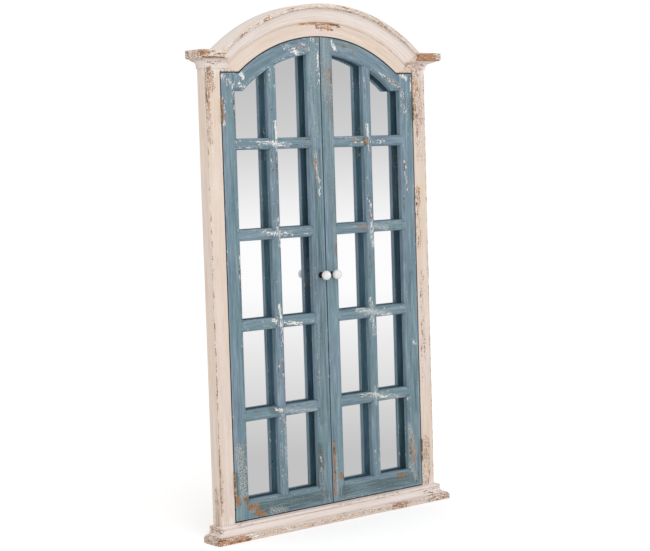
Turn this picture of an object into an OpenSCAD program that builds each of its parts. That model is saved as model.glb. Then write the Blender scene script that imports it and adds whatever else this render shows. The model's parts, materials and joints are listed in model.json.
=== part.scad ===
// Shutter mirror: an arched wall mirror behind a pair of hinged, open-paned shutter doors.
// +Z is up, the front faces -Y, and the wall plane is y = 0. The origin is the middle of the
// bottom edge of the back. Left and right are as seen from the front.

/* [Frame] */
// Width across the outsides of the two posts
frame_w = 640; // [590:1:760]
// Height from the underside of the plinth to the crown of the arch
frame_h = 1200; // [1080:1:1400]
// Width of a post, seen from the front
post_w = 38; // [34:0.5:60]
// Depth of the posts, rails and arch board, front to back
post_d = 32; // [30:0.5:44]
// Length of the frame tenons
frame_tenon_l = 14; // [8:0.5:20]
// Thickness of the frame tenons
frame_tenon_t = 8; // [5:0.5:9]
// Height of the top of the sill rail above the floor of the plinth
sill_top = 39; // [37.5:0.5:60]

/* [Arch] */
// Width of the arched board, measured along a radius
arch_band_w = 72.5; // [68:0.5:90]
// Rise of the arched opening above its shoulders
arch_rise = 82.5; // [60:0.5:110]
// Length of the flat shoulder at each side of the arched opening
shoulder_l = 50.5; // [40:0.5:70]
// Width of the moulding that follows the arch
arch_mould_w = 40.5; // [36:0.5:50]
// How far the arch moulding stands out from the face
arch_mould_d = 25.6; // [20:0.1:32]
// Height of the flat fascia at the outer edge of the arch moulding
fascia_w = 10; // [6:0.5:14]

/* [Capitals] */
// Height of the capital slab's top above the shoulder of the opening
cap_rise = 46.5; // [40:0.5:60]
// Thickness of the capital slab
cap_slab_t = 19; // [11:0.5:24]
// How far the capital slab stands out at the front and side
cap_out = 30; // [24:0.5:36]
// Height of the moulding under the capital slab
cap_cove_h = 20; // [17:0.5:26]
// How far the top of the moulding under the slab stands out
cap_cove_out = 20; // [14:0.5:24]

/* [Base] */
// Thickness of the plinth board
plinth_t = 16; // [12:0.5:24]
// How far the plinth stands out at the front and sides
plinth_out = 27; // [24:0.5:40]
// Radius of the plinth's rounded top arris
plinth_round = 6; // [2:0.5:8]
// Height of the cove moulding on the plinth
base_cove_h = 21; // [18:0.5:21.3]
// How far the foot of the cove moulding stands out
base_cove_out = 22.5; // [18:0.5:23.5]
// How far the top of the cove moulding stands out
base_top_out = 9.5; // [6:0.5:12]

/* [Doors] */
// Thickness of a door
door_t = 13.6; // [12:0.1:16]
// Gap between a door and the post it hangs on
side_gap = 1.5; // [1.2:0.1:3]
// Gap above and below a door
end_gap = 2; // [1:0.1:3]
// Gap between the two doors where they meet
meet_gap = 2; // [1.6:0.1:4]
// Width of the stile that carries the hinges
hinge_stile_w = 39.5; // [34:0.5:48]
// Width of the stile where the doors meet
meet_stile_w = 36.8; // [34:0.1:48]
// Height of the door's bottom rail
door_rail_h = 43.4; // [36:0.1:60]
// Width of the door's arched top rail, measured along a radius
door_arch_w = 38.3; // [32:0.1:44]
// Height of the arched rail's flat end at the hinge stile
door_shoulder_h = 40.3; // [34:0.1:48]
// Width of the upright bar in the middle of a door
muntin_w = 24; // [18:0.5:32]
// Height of a cross bar
bar_h = 25.3; // [18:0.1:32]
// Height of the outer side of a top pane, under the arched rail
top_pane_h = 105.1; // [60:0.1:150]
// Length of the stub tenons in the doors
door_tenon_l = 10; // [6:0.5:14]
// Thickness of the stub tenons in the doors
door_tenon_t = 4.4; // [3:0.1:5]
// Width of the rounded bead round each pane
bead_w = 4; // [3:0.5:5]
// Depth of the quirk between the bead and the flat face
quirk_d = 0.8; // [0.5:0.1:1.5]
// Width of the quirk between the bead and the flat face
quirk_w = 1; // [0.6:0.1:2]

/* [Mirror] */
// Distance from the back of a door to the face of the mirror
mirror_gap = 11.1; // [10:0.1:16]
// Thickness of the mirror glass
glass_t = 3; // [3:0.5:4]
// Lap of the mirror behind the frame
glass_lap = 8; // [6:0.5:10]
// Thickness of the back panel
panel_t = 3.6; // [3:0.1:4]
// Lap of the back panel beyond the mirror
panel_lap = 8; // [8:0.5:12]
// Gap round the edges of the mirror and the back panel
edge_gap = 0.5; // [0.3:0.1:1]
// Width of the stop strips that the doors close against
stop_w = 16; // [12:0.5:20]
// Gap between a closed door and its stop
stop_gap = 0.5; // [0.3:0.1:1]

/* [Hinges] */
// Height of a hinge
hinge_h = 51; // [40:1:60]
// Depth of a hinge leaf in the gap beside the door
hinge_leaf_d = 11.5; // [10:0.5:11.5]
// Thickness of a hinge leaf
hinge_leaf_t = 1.2; // [1:0.1:1.4]
// Outside diameter of the knuckles
knuckle_dia = 4.6; // [4.2:0.1:5]
// Diameter of the hinge pin
hinge_pin_dia = 2.2; // [2:0.1:2.4]
// Running clearance between the pin and the knuckles, on the radius
pin_clear = 0.05; // [0.02:0.01:0.08]
// Height of the middle of a lower hinge above the bottom of the door
hinge_low = 85; // [60:1:110]
// Distance from the door's shoulder down to the middle of an upper hinge
hinge_high = 84.5; // [60:0.5:110]

/* [Knobs] */
// Diameter of the porcelain knob
knob_dia = 22; // [16:0.5:26]
// Distance of the middle of the knob from the face of the door
knob_out = 20.5; // [18:0.5:24]
// Diameter of the metal collar behind the knob
collar_dia = 14; // [10:0.5:18]
// How far the knobs sit below the middle of the third row of panes from the bottom
knob_drop = 2; // [-40:1:40]
// Distance from the meeting edge of the door to the middle of the knob
knob_in = 15; // [12:0.5:22]
// Diameter of the knob bolt
knob_bolt_dia = 4; // [3:0.5:5]

/* [Hanging] */
// Distance from the crown of the arch down to the wall screws
hang_drop = 300; // [230:1:500]
// Diameter of the round hole in a hanger plate
hang_hole_dia = 9; // [8:0.5:10]

/* [Hidden] */
$fn = 48;

// Colours
cream = [0.90, 0.84, 0.77];
blue = [0.40, 0.51, 0.58];
silver = [0.86, 0.88, 0.89];
brass = [0.62, 0.48, 0.26];
iron = [0.16, 0.14, 0.12];
steel = [0.66, 0.67, 0.68];
porcelain = [0.95, 0.95, 0.94];
board = [0.56, 0.43, 0.30];

// Cutters run this far past what they cut
past = 1;
// Tenons start this far inside the piece that carries them
tenon_root = 1;
// Larger than anything in the object
far = 3000;
// Flats that stand for each quarter round of a moulding
round_steps = 4;
// Clearance of a screw in its hole, on the radius
screw_clear = 0.05;
// Size of a small chamfer or rounding on an arris
arris = 1.5;

// Planes, front to back
face_y = -post_d;
door_back_y = face_y + door_t;
mirror_y = door_back_y + mirror_gap;
glass_back_y = mirror_y + glass_t;
panel_back_y = glass_back_y + panel_t;

// The opening and its arch
half_w = frame_w / 2;
open_half = half_w - post_w;
shoulder_z = frame_h - arch_band_w - arch_rise;
spring_x = open_half - shoulder_l;
arch_r = (spring_x * spring_x + arch_rise * arch_rise) / (2 * arch_rise);
arch_cz = shoulder_z + arch_rise - arch_r;
arch_out_r = arch_r + arch_band_w;
arch_mould_r = arch_out_r - arch_mould_w;

// The arch moulding: a rounded fascia, a quirk, a cove, and a sloping foot with a nosing
fascia_round = 3;
fascia_quirk = 3.5;
arch_fillet = 1;
arch_foot_w = 14.5;
arch_foot_d = 8.6;
arch_foot_step = 2.2;
arch_nose_w = 4;
arch_nose_d = 5.2;
arch_cove_sweep = 70;
arch_cove_r = (arch_mould_d - fascia_quirk - arch_foot_d - arch_foot_step) / sin(arch_cove_sweep);

// The capital, and the radial line where its mouldings meet the arch moulding
cap_top_z = shoulder_z + cap_rise;
slab_z = cap_top_z - cap_slab_t;
slab_round = 5;
cap_cove_z = slab_z - cap_cove_h;
// Depth of the small flat at the foot of the moulding under the slab
cap_foot = 3;
// Width and height of the step between the cove and the slab
cap_step = 5;
cap_fillet = 3;
mitre_dz = cap_top_z - arch_cz;
mitre_x = sqrt(arch_out_r * arch_out_r - mitre_dz * mitre_dz);
mitre_angle = atan2(mitre_x, mitre_dz);
// Radius of the cove under the slab
cap_cove_r = cap_cove_out - cap_step - cap_foot - arch_fillet;

// The frame's tenons keep this far inside the edges of their rails
frame_tenon_inset = 4;
arch_tenon_z = [shoulder_z + 2 * frame_tenon_inset, slab_z - frame_tenon_inset];
sill_tenon_z = [plinth_t + frame_tenon_inset, sill_top - frame_tenon_inset];

// The cove moulding on the plinth: a thin foot, the cove, and a lip at the top
base_foot = 1;
base_lip = 5;
base_cove_top = plinth_t + base_cove_h;
base_cove_r = min(base_cove_out - base_top_out, base_cove_h - base_foot - base_lip - arris);

// The doors, each with this many cross bars
bars = 4;
door_bottom = sill_top + end_gap;
door_hinge_x = open_half - side_gap;
door_meet_x = meet_gap / 2;
door_top_r = arch_r - end_gap;
door_shoulder_z = shoulder_z - end_gap;
pane_top_r = door_top_r - door_arch_w;
pane_shoulder_z = door_shoulder_z - door_shoulder_h;
pane_bottom = door_bottom + door_rail_h;
pane_outer_x = door_hinge_x - hinge_stile_w;
pane_inner_x = door_meet_x + meet_stile_w;
pane_w = (pane_outer_x - pane_inner_x - muntin_w) / 2;
muntin_in_x = pane_inner_x + pane_w;
muntin_out_x = muntin_in_x + muntin_w;
// The rows under the top one share what height is left
top_row_z = pane_shoulder_z - top_pane_h;
row_pitch = (top_row_z - pane_bottom) / bars;
pane_h = row_pitch - bar_h;
bead_drop = quirk_d + bead_w;
moulded_w = bead_w + quirk_w;
// The curved bead is worked in a pass of its own, this much shallower than the straight ones
arc_bead_lift = 0.06;
tenon_front_y = face_y + (door_t + bead_drop - door_tenon_t) / 2;
// The doors' tenons keep this far inside the edges of their rails and bars
rail_tenon_inset = 8;
bar_tenon_inset = 5;
muntin_tenon_inset = 6;
// The cross bars and the upright bar are halved together here
halving_y = face_y + (door_t + bead_drop) / 2;

// Hinges
knuckle_r = knuckle_dia / 2;
pin_r = hinge_pin_dia / 2;
pin_x = open_half - side_gap / 2;
knuckle_clear = 0.3;
// The knuckles stand this far in front of the face
knuckle_gap = 0.25;
pin_y = face_y - knuckle_r - knuckle_gap;
leaf_gap = 0.3;
leaf_sink = hinge_leaf_t + leaf_gap / 2 - side_gap / 2;
leaf_back_y = face_y + hinge_leaf_d;
knuckle_h = hinge_h / 3;
hinge_zs = [door_bottom + hinge_low, door_shoulder_z - hinge_high];
pin_head_lip = 0.7;
pin_head_r = pin_r + pin_head_lip;
pin_head_h = 0.9;
hinge_screw_r = 1.1;
hinge_screw_head_r = 2;
hinge_screw_l = 14;
// Distances of a leaf's screws from its back edge and from its ends
hinge_screw_back = 5.2;
hinge_screw_end = 8.5;
hinge_screw_y = leaf_back_y - hinge_screw_back;
hinge_screw_dz = hinge_h / 2 - hinge_screw_end;

// Back panel screws
panel_screw_r = 1.25;
panel_screw_head_r = 2.6;
panel_screw_l = 12;
panel_out = glass_lap + panel_lap;
panel_screw_x = open_half + glass_lap + (panel_lap + edge_gap) / 2;
panel_screw_rows = 5;
panel_screw_low = 40;
panel_screw_high = 60;
panel_screw_z0 = sill_top + panel_screw_low;
panel_screw_z1 = shoulder_z - panel_screw_high;
panel_screw_arch_r = arch_r + glass_lap + (panel_lap + edge_gap) / 2;
panel_screw_arch_angles = [-27, -9, 9, 27];

// Hanger plates
hanger_w = 15;
hanger_h = 44;
hanger_t = 1.5;
hanger_x = open_half + (post_w + panel_out) / 2;
hanger_slot_r = 2.2;
hanger_slot_l = 12;
hanger_pocket_d = 9;
hanger_pocket_gap = 1;
hanger_pocket_r = hang_hole_dia / 2 + hanger_pocket_gap;
hanger_screw_r = 1.25;
hanger_screw_head_r = 2.3;
hanger_screw_l = 14;
hanger_screw_end = 5;
hanger_screw_dz = hanger_h / 2 - hanger_screw_end;
// The wall screw's hole is this far under the middle of the plate
hanger_hole_drop = 4;
hang_z = frame_h - hang_drop;
hanger_mid_z = hang_z + hanger_hole_drop;

// Magnetic catches
catch_w = 30;
catch_h = 12;
catch_in = 12;
catch_x = door_meet_x + meet_stile_w + catch_in;
strike_w = 22;
strike_h = 10;
strike_t = 0.8;
catch_gap = 0.4;
catch_z = sill_top + stop_w;

// Knobs
knob_x = door_meet_x + knob_in;
knob_row = 2;
knob_cz = pane_bottom + knob_row * row_pitch + pane_h / 2 - knob_drop;
knob_r = knob_dia / 2;
collar_r = collar_dia / 2;
collar_flange_t = 2;
collar_bevel = 1;
collar_step = 2.5;
collar_neck_r = collar_r - collar_step;
knob_bolt_r = knob_bolt_dia / 2;
knob_bore_r = knob_bolt_r + screw_clear;
knob_seat_angle = acos(collar_neck_r / knob_r);
knob_seat = knob_out - knob_r * sin(knob_seat_angle);
knob_steps = 14;
knob_socket_d = 8;
knob_socket_gap = 1;
knob_bolt_head_r = knob_bolt_dia;
knob_bolt_head_h = 2.2;

// ---------------------------------------------------------------- helpers

// Extrudes a drawing of the front view, x across and y up, from one depth to another
module front_slab(y0, y1) {
    translate([0, y1, 0]) rotate([90, 0, 0]) linear_extrude(height = y1 - y0) children();
}

// A box from its lowest and highest corners
module span(lo, hi) {
    translate(lo) cube(hi - lo);
}

// A round rod along Y from one depth to another
module rod_y(x, z, r, y0, y1) {
    translate([x, y0, z]) rotate([-90, 0, 0]) cylinder(r = r, h = y1 - y0);
}

// The left piece is the right piece mirrored
module left() {
    mirror([1, 0, 0]) children();
}

// Front view of the arched opening, larger by grow all round
module opening(grow) {
    w = open_half + grow;
    z0 = sill_top - grow;
    z1 = shoulder_z + grow;
    translate([-w, z0]) square([2 * w, z1 - z0]);
    intersection() {
        translate([0, arch_cz]) circle(r = arch_r + grow);
        translate([-w, z1 - past]) square([2 * w, far]);
    }
}

// A ring section about the arch's centre: points are [radius, height out of the face]
module arch_sweep(points, half_angle, y) {
    translate([0, y, arch_cz]) rotate([90, 0, 0])
        rotate([0, 0, 90 - half_angle])
            rotate_extrude(angle = 2 * half_angle, $fn = 96) polygon(points);
}

// Points of a quarter round from one angle to another about a centre
function arc_points(cx, cy, r, a0, a1, n = round_steps) =
    [for (i = [0:n]) [cx + r * cos(a0 + (a1 - a0) * i / n), cy + r * sin(a0 + (a1 - a0) * i / n)]];

// ---------------------------------------------------------------- frame

// Rebates at the back for the mirror and the back panel
module rear_rebates() {
    front_slab(mirror_y, past) opening(glass_lap);
    front_slab(glass_back_y, past) opening(panel_out);
}

// Tenons of the arched board and the sill rail; grow makes the mortise
module frame_tenons(z0, z1) {
    mid_y = (door_back_y + mirror_y) / 2;
    span([-open_half - frame_tenon_l, mid_y - frame_tenon_t / 2, z0],
         [open_half + frame_tenon_l, mid_y + frame_tenon_t / 2, z1]);
}

module post_right() {
    difference() {
        span([open_half, face_y, plinth_t], [half_w, 0, slab_z]);
        rear_rebates();
        frame_tenons(arch_tenon_z[0], arch_tenon_z[1]);
        frame_tenons(sill_tenon_z[0], sill_tenon_z[1]);
        for (z = hinge_zs) {
            hinge_gain(z);
            hinge_screw_holes(z, 1);
        }
        panel_screw_holes();
        hanger_pocket();
    }
}

module left_post() {
    color(cream) left() post_right();
}

module right_post() {
    color(cream) post_right();
}

module sill_rail() {
    color(cream) difference() {
        union() {
            span([-open_half, face_y, plinth_t], [open_half, 0, sill_top]);
            frame_tenons(sill_tenon_z[0], sill_tenon_z[1]);
        }
        rear_rebates();
    }
}

// Front view of the arched board: the arch with a horn over each post
module arch_outline() {
    difference() {
        intersection() {
            translate([0, arch_cz]) circle(r = arch_out_r);
            union() {
                translate([-open_half, shoulder_z]) square([2 * open_half, far]);
                translate([-mitre_x, slab_z]) square([2 * mitre_x, far]);
            }
        }
        opening(0);
    }
}

module arch_board() {
    color(cream) difference() {
        union() {
            front_slab(face_y, 0) arch_outline();
            intersection() {
                frame_tenons(arch_tenon_z[0], arch_tenon_z[1]);
                union() {
                    span([open_half - tenon_root, -far, 0], [far, far, far]);
                    span([-far, -far, 0], [-open_half + tenon_root, far, far]);
                }
            }
        }
        rear_rebates();
        panel_screw_holes();
    }
}

// Profile of the arch moulding, from its outer edge inwards
function arch_profile() = concat(
    [[arch_out_r, 0]],
    arc_points(arch_out_r - fascia_round, arch_mould_d - fascia_round, fascia_round, 0, 90),
    arc_points(arch_out_r - fascia_w + arris, arch_mould_d - arris, arris, 90, 180, 2),
    [[arch_out_r - fascia_w, arch_mould_d - fascia_quirk]],
    arc_points(arch_out_r - fascia_w - arch_fillet - arch_cove_r, arch_mould_d - fascia_quirk,
        arch_cove_r, 0, -arch_cove_sweep, 5),
    [[arch_mould_r + arch_foot_w, arch_foot_d], [arch_mould_r + arch_nose_w, arch_nose_d]],
    [[arch_mould_r + arris, arch_nose_d - arris], [arch_mould_r, arch_nose_d - 2 * arris]],
    [[arch_mould_r, 0]]
);

module arch_moulding() {
    color(cream) arch_sweep(arch_profile(), mitre_angle, face_y);
}

// Solid that keeps what lies outside the radial mitre line on the right
module beyond_mitre() {
    front_slab(-far, far) polygon([
        [0, arch_cz],
        [far * sin(mitre_angle), arch_cz + far * cos(mitre_angle)],
        [far, arch_cz]
    ]);
}

// A moulding that wraps the front and the right side: points are [out, height]
module wrap_right(points) {
    intersection() {
        rotate([90, 0, 90]) linear_extrude(height = far, center = true)
            polygon([for (p = points) [face_y - p[0], p[1]]]);
        rotate([90, 0, 0]) linear_extrude(height = far, center = true)
            polygon([for (p = points) [half_w + p[0], p[1]]]);
    }
}

// A moulding that wraps the front and both sides
module wrap_round(points) {
    intersection() {
        wrap_right(points);
        left() wrap_right(points);
        span([-far, -far, 0], [far, 0, far]);
    }
}

// Half of a wrap's outline: its outer points closed far inside the frame
function closed_inside(points) = concat(
    points,
    [[-far / 2, points[len(points) - 1][1]], [-far / 2, points[0][1]]]
);

slab_points = closed_inside(concat(
    arc_points(cap_out - slab_round, slab_z + slab_round, slab_round, -90, 0),
    [[cap_out, cap_top_z - arris], [cap_out - arris, cap_top_z]]
));

cap_cove_points = closed_inside(concat(
    [[cap_foot, cap_cove_z]],
    arc_points(cap_foot + cap_cove_r, slab_z - cap_fillet - arris - cap_cove_r, cap_cove_r, 180, 90, 6),
    [[cap_cove_out - cap_step, slab_z - cap_fillet - arris], [cap_cove_out - cap_step, slab_z - cap_fillet]],
    [[cap_cove_out, slab_z - cap_fillet + arch_fillet], [cap_cove_out, slab_z]]
));

module capital_slab_right() {
    intersection() {
        wrap_right(slab_points);
        union() {
            span([mitre_x, face_y, 0], [far, 0, far]);
            intersection() {
                span([0, -far, 0], [far, face_y, far]);
                beyond_mitre();
            }
        }
    }
}

module left_capital_slab() {
    color(cream) left() capital_slab_right();
}

module right_capital_slab() {
    color(cream) capital_slab_right();
}

module capital_cove_right() {
    intersection() {
        wrap_right(cap_cove_points);
        union() {
            intersection() {
                span([0, -far, 0], [far, face_y, far]);
                beyond_mitre();
            }
            span([half_w, -far, 0], [far, 0, far]);
        }
    }
}

module left_capital_cove() {
    color(cream) left() capital_cove_right();
}

module right_capital_cove() {
    color(cream) capital_cove_right();
}

// ---------------------------------------------------------------- base

plinth_points = closed_inside(concat(
    [[plinth_out - arris, 0], [plinth_out, arris]],
    arc_points(plinth_out - plinth_round, plinth_t - plinth_round, plinth_round, 0, 90)
));

module plinth() {
    color(cream) wrap_round(plinth_points);
}

base_cove_points = closed_inside(concat(
    [[base_cove_out, plinth_t], [base_cove_out, plinth_t + base_foot]],
    arc_points(base_top_out + base_cove_r, plinth_t + base_foot + base_cove_r, base_cove_r, 270, 180, 6),
    [[base_top_out, base_cove_top - base_lip - arris], [base_top_out + arris, base_cove_top - base_lip]],
    [[base_top_out + arris, base_cove_top - arris], [base_top_out, base_cove_top]]
));

// The whole cove moulding, mitred round the front and both sides
module base_cove_wrap() {
    difference() {
        wrap_round(base_cove_points);
        span([-half_w, face_y, -past], [half_w, past, far]);
    }
}

// Plan of the mitred corner on the right, from the post's corner outwards
module right_mitre_plan() {
    translate([0, 0, -past]) linear_extrude(height = far)
        polygon([[half_w, face_y], [half_w + far, face_y - far], [half_w + far, far], [half_w, far]]);
}

module base_cove_front() {
    color(cream) difference() {
        base_cove_wrap();
        right_mitre_plan();
        left() right_mitre_plan();
    }
}

module base_cove_right() {
    color(cream) intersection() {
        base_cove_wrap();
        right_mitre_plan();
    }
}

module base_cove_left() {
    color(cream) left() intersection() {
        base_cove_wrap();
        right_mitre_plan();
    }
}

// ---------------------------------------------------------------- stops, mirror, back

stop_front_y = door_back_y + stop_gap;

module stop_ring() {
    front_slab(stop_front_y, mirror_y) difference() {
        opening(0);
        opening(-stop_w);
    }
}

// The upright stops run from the sill stop to the shoulders
module stop_right() {
    span([open_half - stop_w, stop_front_y, sill_top + stop_w],
         [open_half, mirror_y, shoulder_z - stop_w]);
}

module left_stop() {
    color(cream) left() stop_right();
}

module right_stop() {
    color(cream) stop_right();
}

module sill_stop() {
    color(cream) intersection() {
        stop_ring();
        span([-far, -far, 0], [far, far, sill_top + stop_w]);
    }
}

module arch_stop() {
    color(cream) intersection() {
        stop_ring();
        span([-far, -far, shoulder_z - stop_w], [far, far, far]);
    }
}

module mirror_glass() {
    color(silver) front_slab(mirror_y, glass_back_y) opening(glass_lap - edge_gap);
}

module back_panel() {
    color(board) difference() {
        front_slab(glass_back_y, panel_back_y) opening(panel_out - edge_gap);
        panel_screw_holes();
        panel_screw_heads(screw_clear);
    }
}

// Places every screw of the back panel
module at_panel_screws() {
    for (i = [0:panel_screw_rows - 1], s = [-1, 1])
        translate([s * panel_screw_x, 0,
            panel_screw_z0 + (panel_screw_z1 - panel_screw_z0) * i / (panel_screw_rows - 1)])
            children();
    for (a = panel_screw_arch_angles)
        translate([panel_screw_arch_r * sin(a), 0, arch_cz + panel_screw_arch_r * cos(a)])
            children();
}

module panel_screw_shanks(grow, y0) {
    at_panel_screws() rod_y(0, 0, panel_screw_r + grow, y0, panel_back_y);
}

module panel_screw_heads(grow) {
    h = panel_screw_head_r - panel_screw_r;
    at_panel_screws() translate([0, panel_back_y - h, 0]) rotate([-90, 0, 0])
        cylinder(r1 = panel_screw_r + grow, r2 = panel_screw_head_r + grow, h = h);
}

module panel_screw_holes() {
    panel_screw_shanks(screw_clear, panel_back_y - panel_screw_l);
}

module panel_screws() {
    color(steel) {
        panel_screw_shanks(0, panel_back_y - panel_screw_l);
        panel_screw_heads(0);
    }
}

// ---------------------------------------------------------------- hangers

module keyhole(y0, y1) {
    rod_y(hanger_x, hang_z, hang_hole_dia / 2, y0, y1);
    rod_y(hanger_x, hang_z + hanger_slot_l, hanger_slot_r, y0, y1);
    span([hanger_x - hanger_slot_r, y0, hang_z],
         [hanger_x + hanger_slot_r, y1, hang_z + hanger_slot_l]);
}

module at_hanger_screws() {
    for (s = [-1, 1])
        translate([hanger_x, -hanger_t, hanger_mid_z + s * hanger_screw_dz]) children();
}

// A countersunk screw through the hanger plate; grow makes its hole
module hanger_screw(grow) {
    translate([0, -hanger_screw_l, 0]) rotate([-90, 0, 0])
        cylinder(r = hanger_screw_r + grow, h = hanger_screw_l);
    rotate([-90, 0, 0])
        cylinder(r1 = hanger_screw_r + grow, r2 = hanger_screw_head_r + grow, h = hanger_t);
}

// Recess for the plate and the hollow for the head of the wall screw
module hanger_pocket() {
    span([hanger_x - hanger_w / 2, -hanger_t, hanger_mid_z - hanger_h / 2],
         [hanger_x + hanger_w / 2, past, hanger_mid_z + hanger_h / 2]);
    rod_y(hanger_x, hang_z, hanger_pocket_r, -hanger_pocket_d, 0);
    rod_y(hanger_x, hang_z + hanger_slot_l, hanger_pocket_r, -hanger_pocket_d, 0);
    span([hanger_x - hanger_pocket_r, -hanger_pocket_d, hang_z],
         [hanger_x + hanger_pocket_r, 0, hang_z + hanger_slot_l]);
    at_hanger_screws() hanger_screw(screw_clear);
}

module hanger_plate_right() {
    difference() {
        span([hanger_x - hanger_w / 2, -hanger_t, hanger_mid_z - hanger_h / 2],
             [hanger_x + hanger_w / 2, 0, hanger_mid_z + hanger_h / 2]);
        keyhole(-hanger_t - past, past);
        at_hanger_screws() hanger_screw(screw_clear);
    }
}

module hanger_plates() {
    color(steel) {
        hanger_plate_right();
        left() hanger_plate_right();
    }
}

module hanger_screws() {
    color(steel) {
        at_hanger_screws() hanger_screw(0);
        left() at_hanger_screws() hanger_screw(0);
    }
}

// ---------------------------------------------------------------- hinges, on the right side

// Shallow recess in the post for the frame's leaf
module hinge_gain(z) {
    span([open_half - past, face_y - past, z - hinge_h / 2],
         [open_half + leaf_sink, leaf_back_y, z + hinge_h / 2]);
}

// Shallow recess in the door's edge for the door's leaf
module door_gain(z) {
    span([door_hinge_x - leaf_sink, face_y - past, z - hinge_h / 2],
         [door_hinge_x + past, leaf_back_y, z + hinge_h / 2]);
}

// side is 1 for the frame's leaf and -1 for the door's leaf
module hinge_leaf(z, side) {
    mid = knuckle_h / 2;
    own = side > 0 ? [[-hinge_h / 2, -mid - leaf_gap / 2], [mid + leaf_gap / 2, hinge_h / 2]]
                   : [[-mid + leaf_gap / 2, mid - leaf_gap / 2]];
    inner = pin_x + side * leaf_gap / 2;
    outer = inner + side * hinge_leaf_t;
    x0 = min(inner, outer);
    x1 = max(inner, outer);
    difference() {
        union() {
            span([x0, pin_y + knuckle_r + knuckle_clear, z - hinge_h / 2],
                 [x1, leaf_back_y, z + hinge_h / 2]);
            for (k = own) {
                span([x0, pin_y, z + k[0]], [x1, leaf_back_y, z + k[1]]);
                translate([pin_x, pin_y, z + k[0]]) cylinder(r = knuckle_r, h = k[1] - k[0]);
            }
        }
        translate([pin_x, pin_y, z - hinge_h]) cylinder(r = pin_r + pin_clear, h = 2 * hinge_h);
        hinge_screw_holes(z, side);
    }
}

// Places the two screws of a leaf; the screw's axis then runs along +Z from its head
module at_hinge_screws(z, side) {
    for (s = [-1, 1])
        translate([pin_x + side * leaf_gap / 2, hinge_screw_y, z + s * hinge_screw_dz])
            rotate([0, side * 90, 0]) children();
}

module hinge_screw(grow) {
    h = hinge_screw_head_r - hinge_screw_r;
    cylinder(r1 = hinge_screw_head_r + grow, r2 = hinge_screw_r + grow, h = h);
    cylinder(r = hinge_screw_r + grow, h = hinge_screw_l);
}

module hinge_screw_holes(z, side) {
    at_hinge_screws(z, side) hinge_screw(screw_clear);
}

module hinge_pin(z) {
    translate([pin_x, pin_y, z - hinge_h / 2]) cylinder(r = pin_r, h = hinge_h);
    for (s = [z - hinge_h / 2 - pin_head_h, z + hinge_h / 2])
        translate([pin_x, pin_y, s]) cylinder(r = pin_head_r, h = pin_head_h);
}

module frame_leaves_right() {
    for (z = hinge_zs) hinge_leaf(z, 1);
}

module left_frame_hinge_leaves() {
    color(brass) left() frame_leaves_right();
}

module right_frame_hinge_leaves() {
    color(brass) frame_leaves_right();
}

module door_leaves_right() {
    for (z = hinge_zs) hinge_leaf(z, -1);
}

module left_door_hinge_leaves() {
    color(brass) left() door_leaves_right();
}

module right_door_hinge_leaves() {
    color(brass) door_leaves_right();
}

module left_hinge_pins() {
    color(brass) left() for (z = hinge_zs) hinge_pin(z);
}

module right_hinge_pins() {
    color(brass) for (z = hinge_zs) hinge_pin(z);
}

module hinge_screws_right(side) {
    for (z = hinge_zs) at_hinge_screws(z, side) hinge_screw(0);
}

module frame_hinge_screws() {
    color(brass) {
        hinge_screws_right(1);
        left() hinge_screws_right(1);
    }
}

module left_door_hinge_screws() {
    color(brass) left() hinge_screws_right(-1);
}

module right_door_hinge_screws() {
    color(brass) hinge_screws_right(-1);
}

// ---------------------------------------------------------------- catches

module catch_right() {
    span([catch_x, door_back_y + strike_t + catch_gap, catch_z],
         [catch_x + catch_w, mirror_y, catch_z + catch_h]);
}

module magnet_catches() {
    color(iron) {
        catch_right();
        left() catch_right();
    }
}

module strike_right() {
    mid_x = catch_x + catch_w / 2;
    span([mid_x - strike_w / 2, door_back_y, catch_z + (catch_h - strike_h) / 2],
         [mid_x + strike_w / 2, door_back_y + strike_t, catch_z + (catch_h + strike_h) / 2]);
}

module left_strike_plate() {
    color(steel) left() strike_right();
}

module right_strike_plate() {
    color(steel) strike_right();
}

// ---------------------------------------------------------------- doors, the right one

// Section through the edge of a pane: [out from the pane, depth from the door's face],
// as what the cutter removes on one side of the pane; lift makes it shallower
function edge_points(lift = 0) = concat(
    [[0, door_t + past]],
    arc_points(bead_w, bead_drop - lift, bead_w, 180, 270),
    [[moulded_w, quirk_d - lift], [moulded_w, -past]]
);

// Outline of a cutter between two edges
function pane_section(lo, hi) = concat(
    [for (p = edge_points()) [hi + p[0], p[1]]],
    [for (i = [len(edge_points()) - 1:-1:0]) [lo - edge_points()[i][0], edge_points()[i][1]]]
);

// A straight-sided cutter across the door, bounded left and right
module column_cutter(x0, x1) {
    linear_extrude(height = far)
        polygon([for (p = pane_section(x0, x1)) [p[0], face_y + p[1]]]);
}

// A cutter bounded below and above
module row_cutter(z0, z1) {
    rotate([90, 0, 90]) linear_extrude(height = far)
        polygon([for (p = pane_section(z0, z1)) [face_y + p[1], p[0]]]);
}

// The cutter under the arched rail, inside the arc
module arc_cutter() {
    points = concat(
        [[0, -door_t - past]],
        [for (p = edge_points(arc_bead_lift)) [pane_top_r + p[0], -p[1]]],
        [[0, past]]
    );
    translate([0, face_y, arch_cz]) rotate([90, 0, 0]) rotate_extrude($fn = 96) polygon(points);
}

// One column of panes: the lower rows, and the top one under the arched rail
module pane_column(x0, x1) {
    intersection() {
        column_cutter(x0, x1);
        union() {
            for (i = [0:bars - 1])
                row_cutter(pane_bottom + i * row_pitch, pane_bottom + i * row_pitch + pane_h);
            row_cutter(top_row_z, pane_shoulder_z);
            intersection() {
                row_cutter(top_row_z, far);
                arc_cutter();
            }
        }
    }
}

module panes() {
    pane_column(pane_inner_x, muntin_in_x);
    pane_column(muntin_out_x, pane_outer_x);
}

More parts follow.
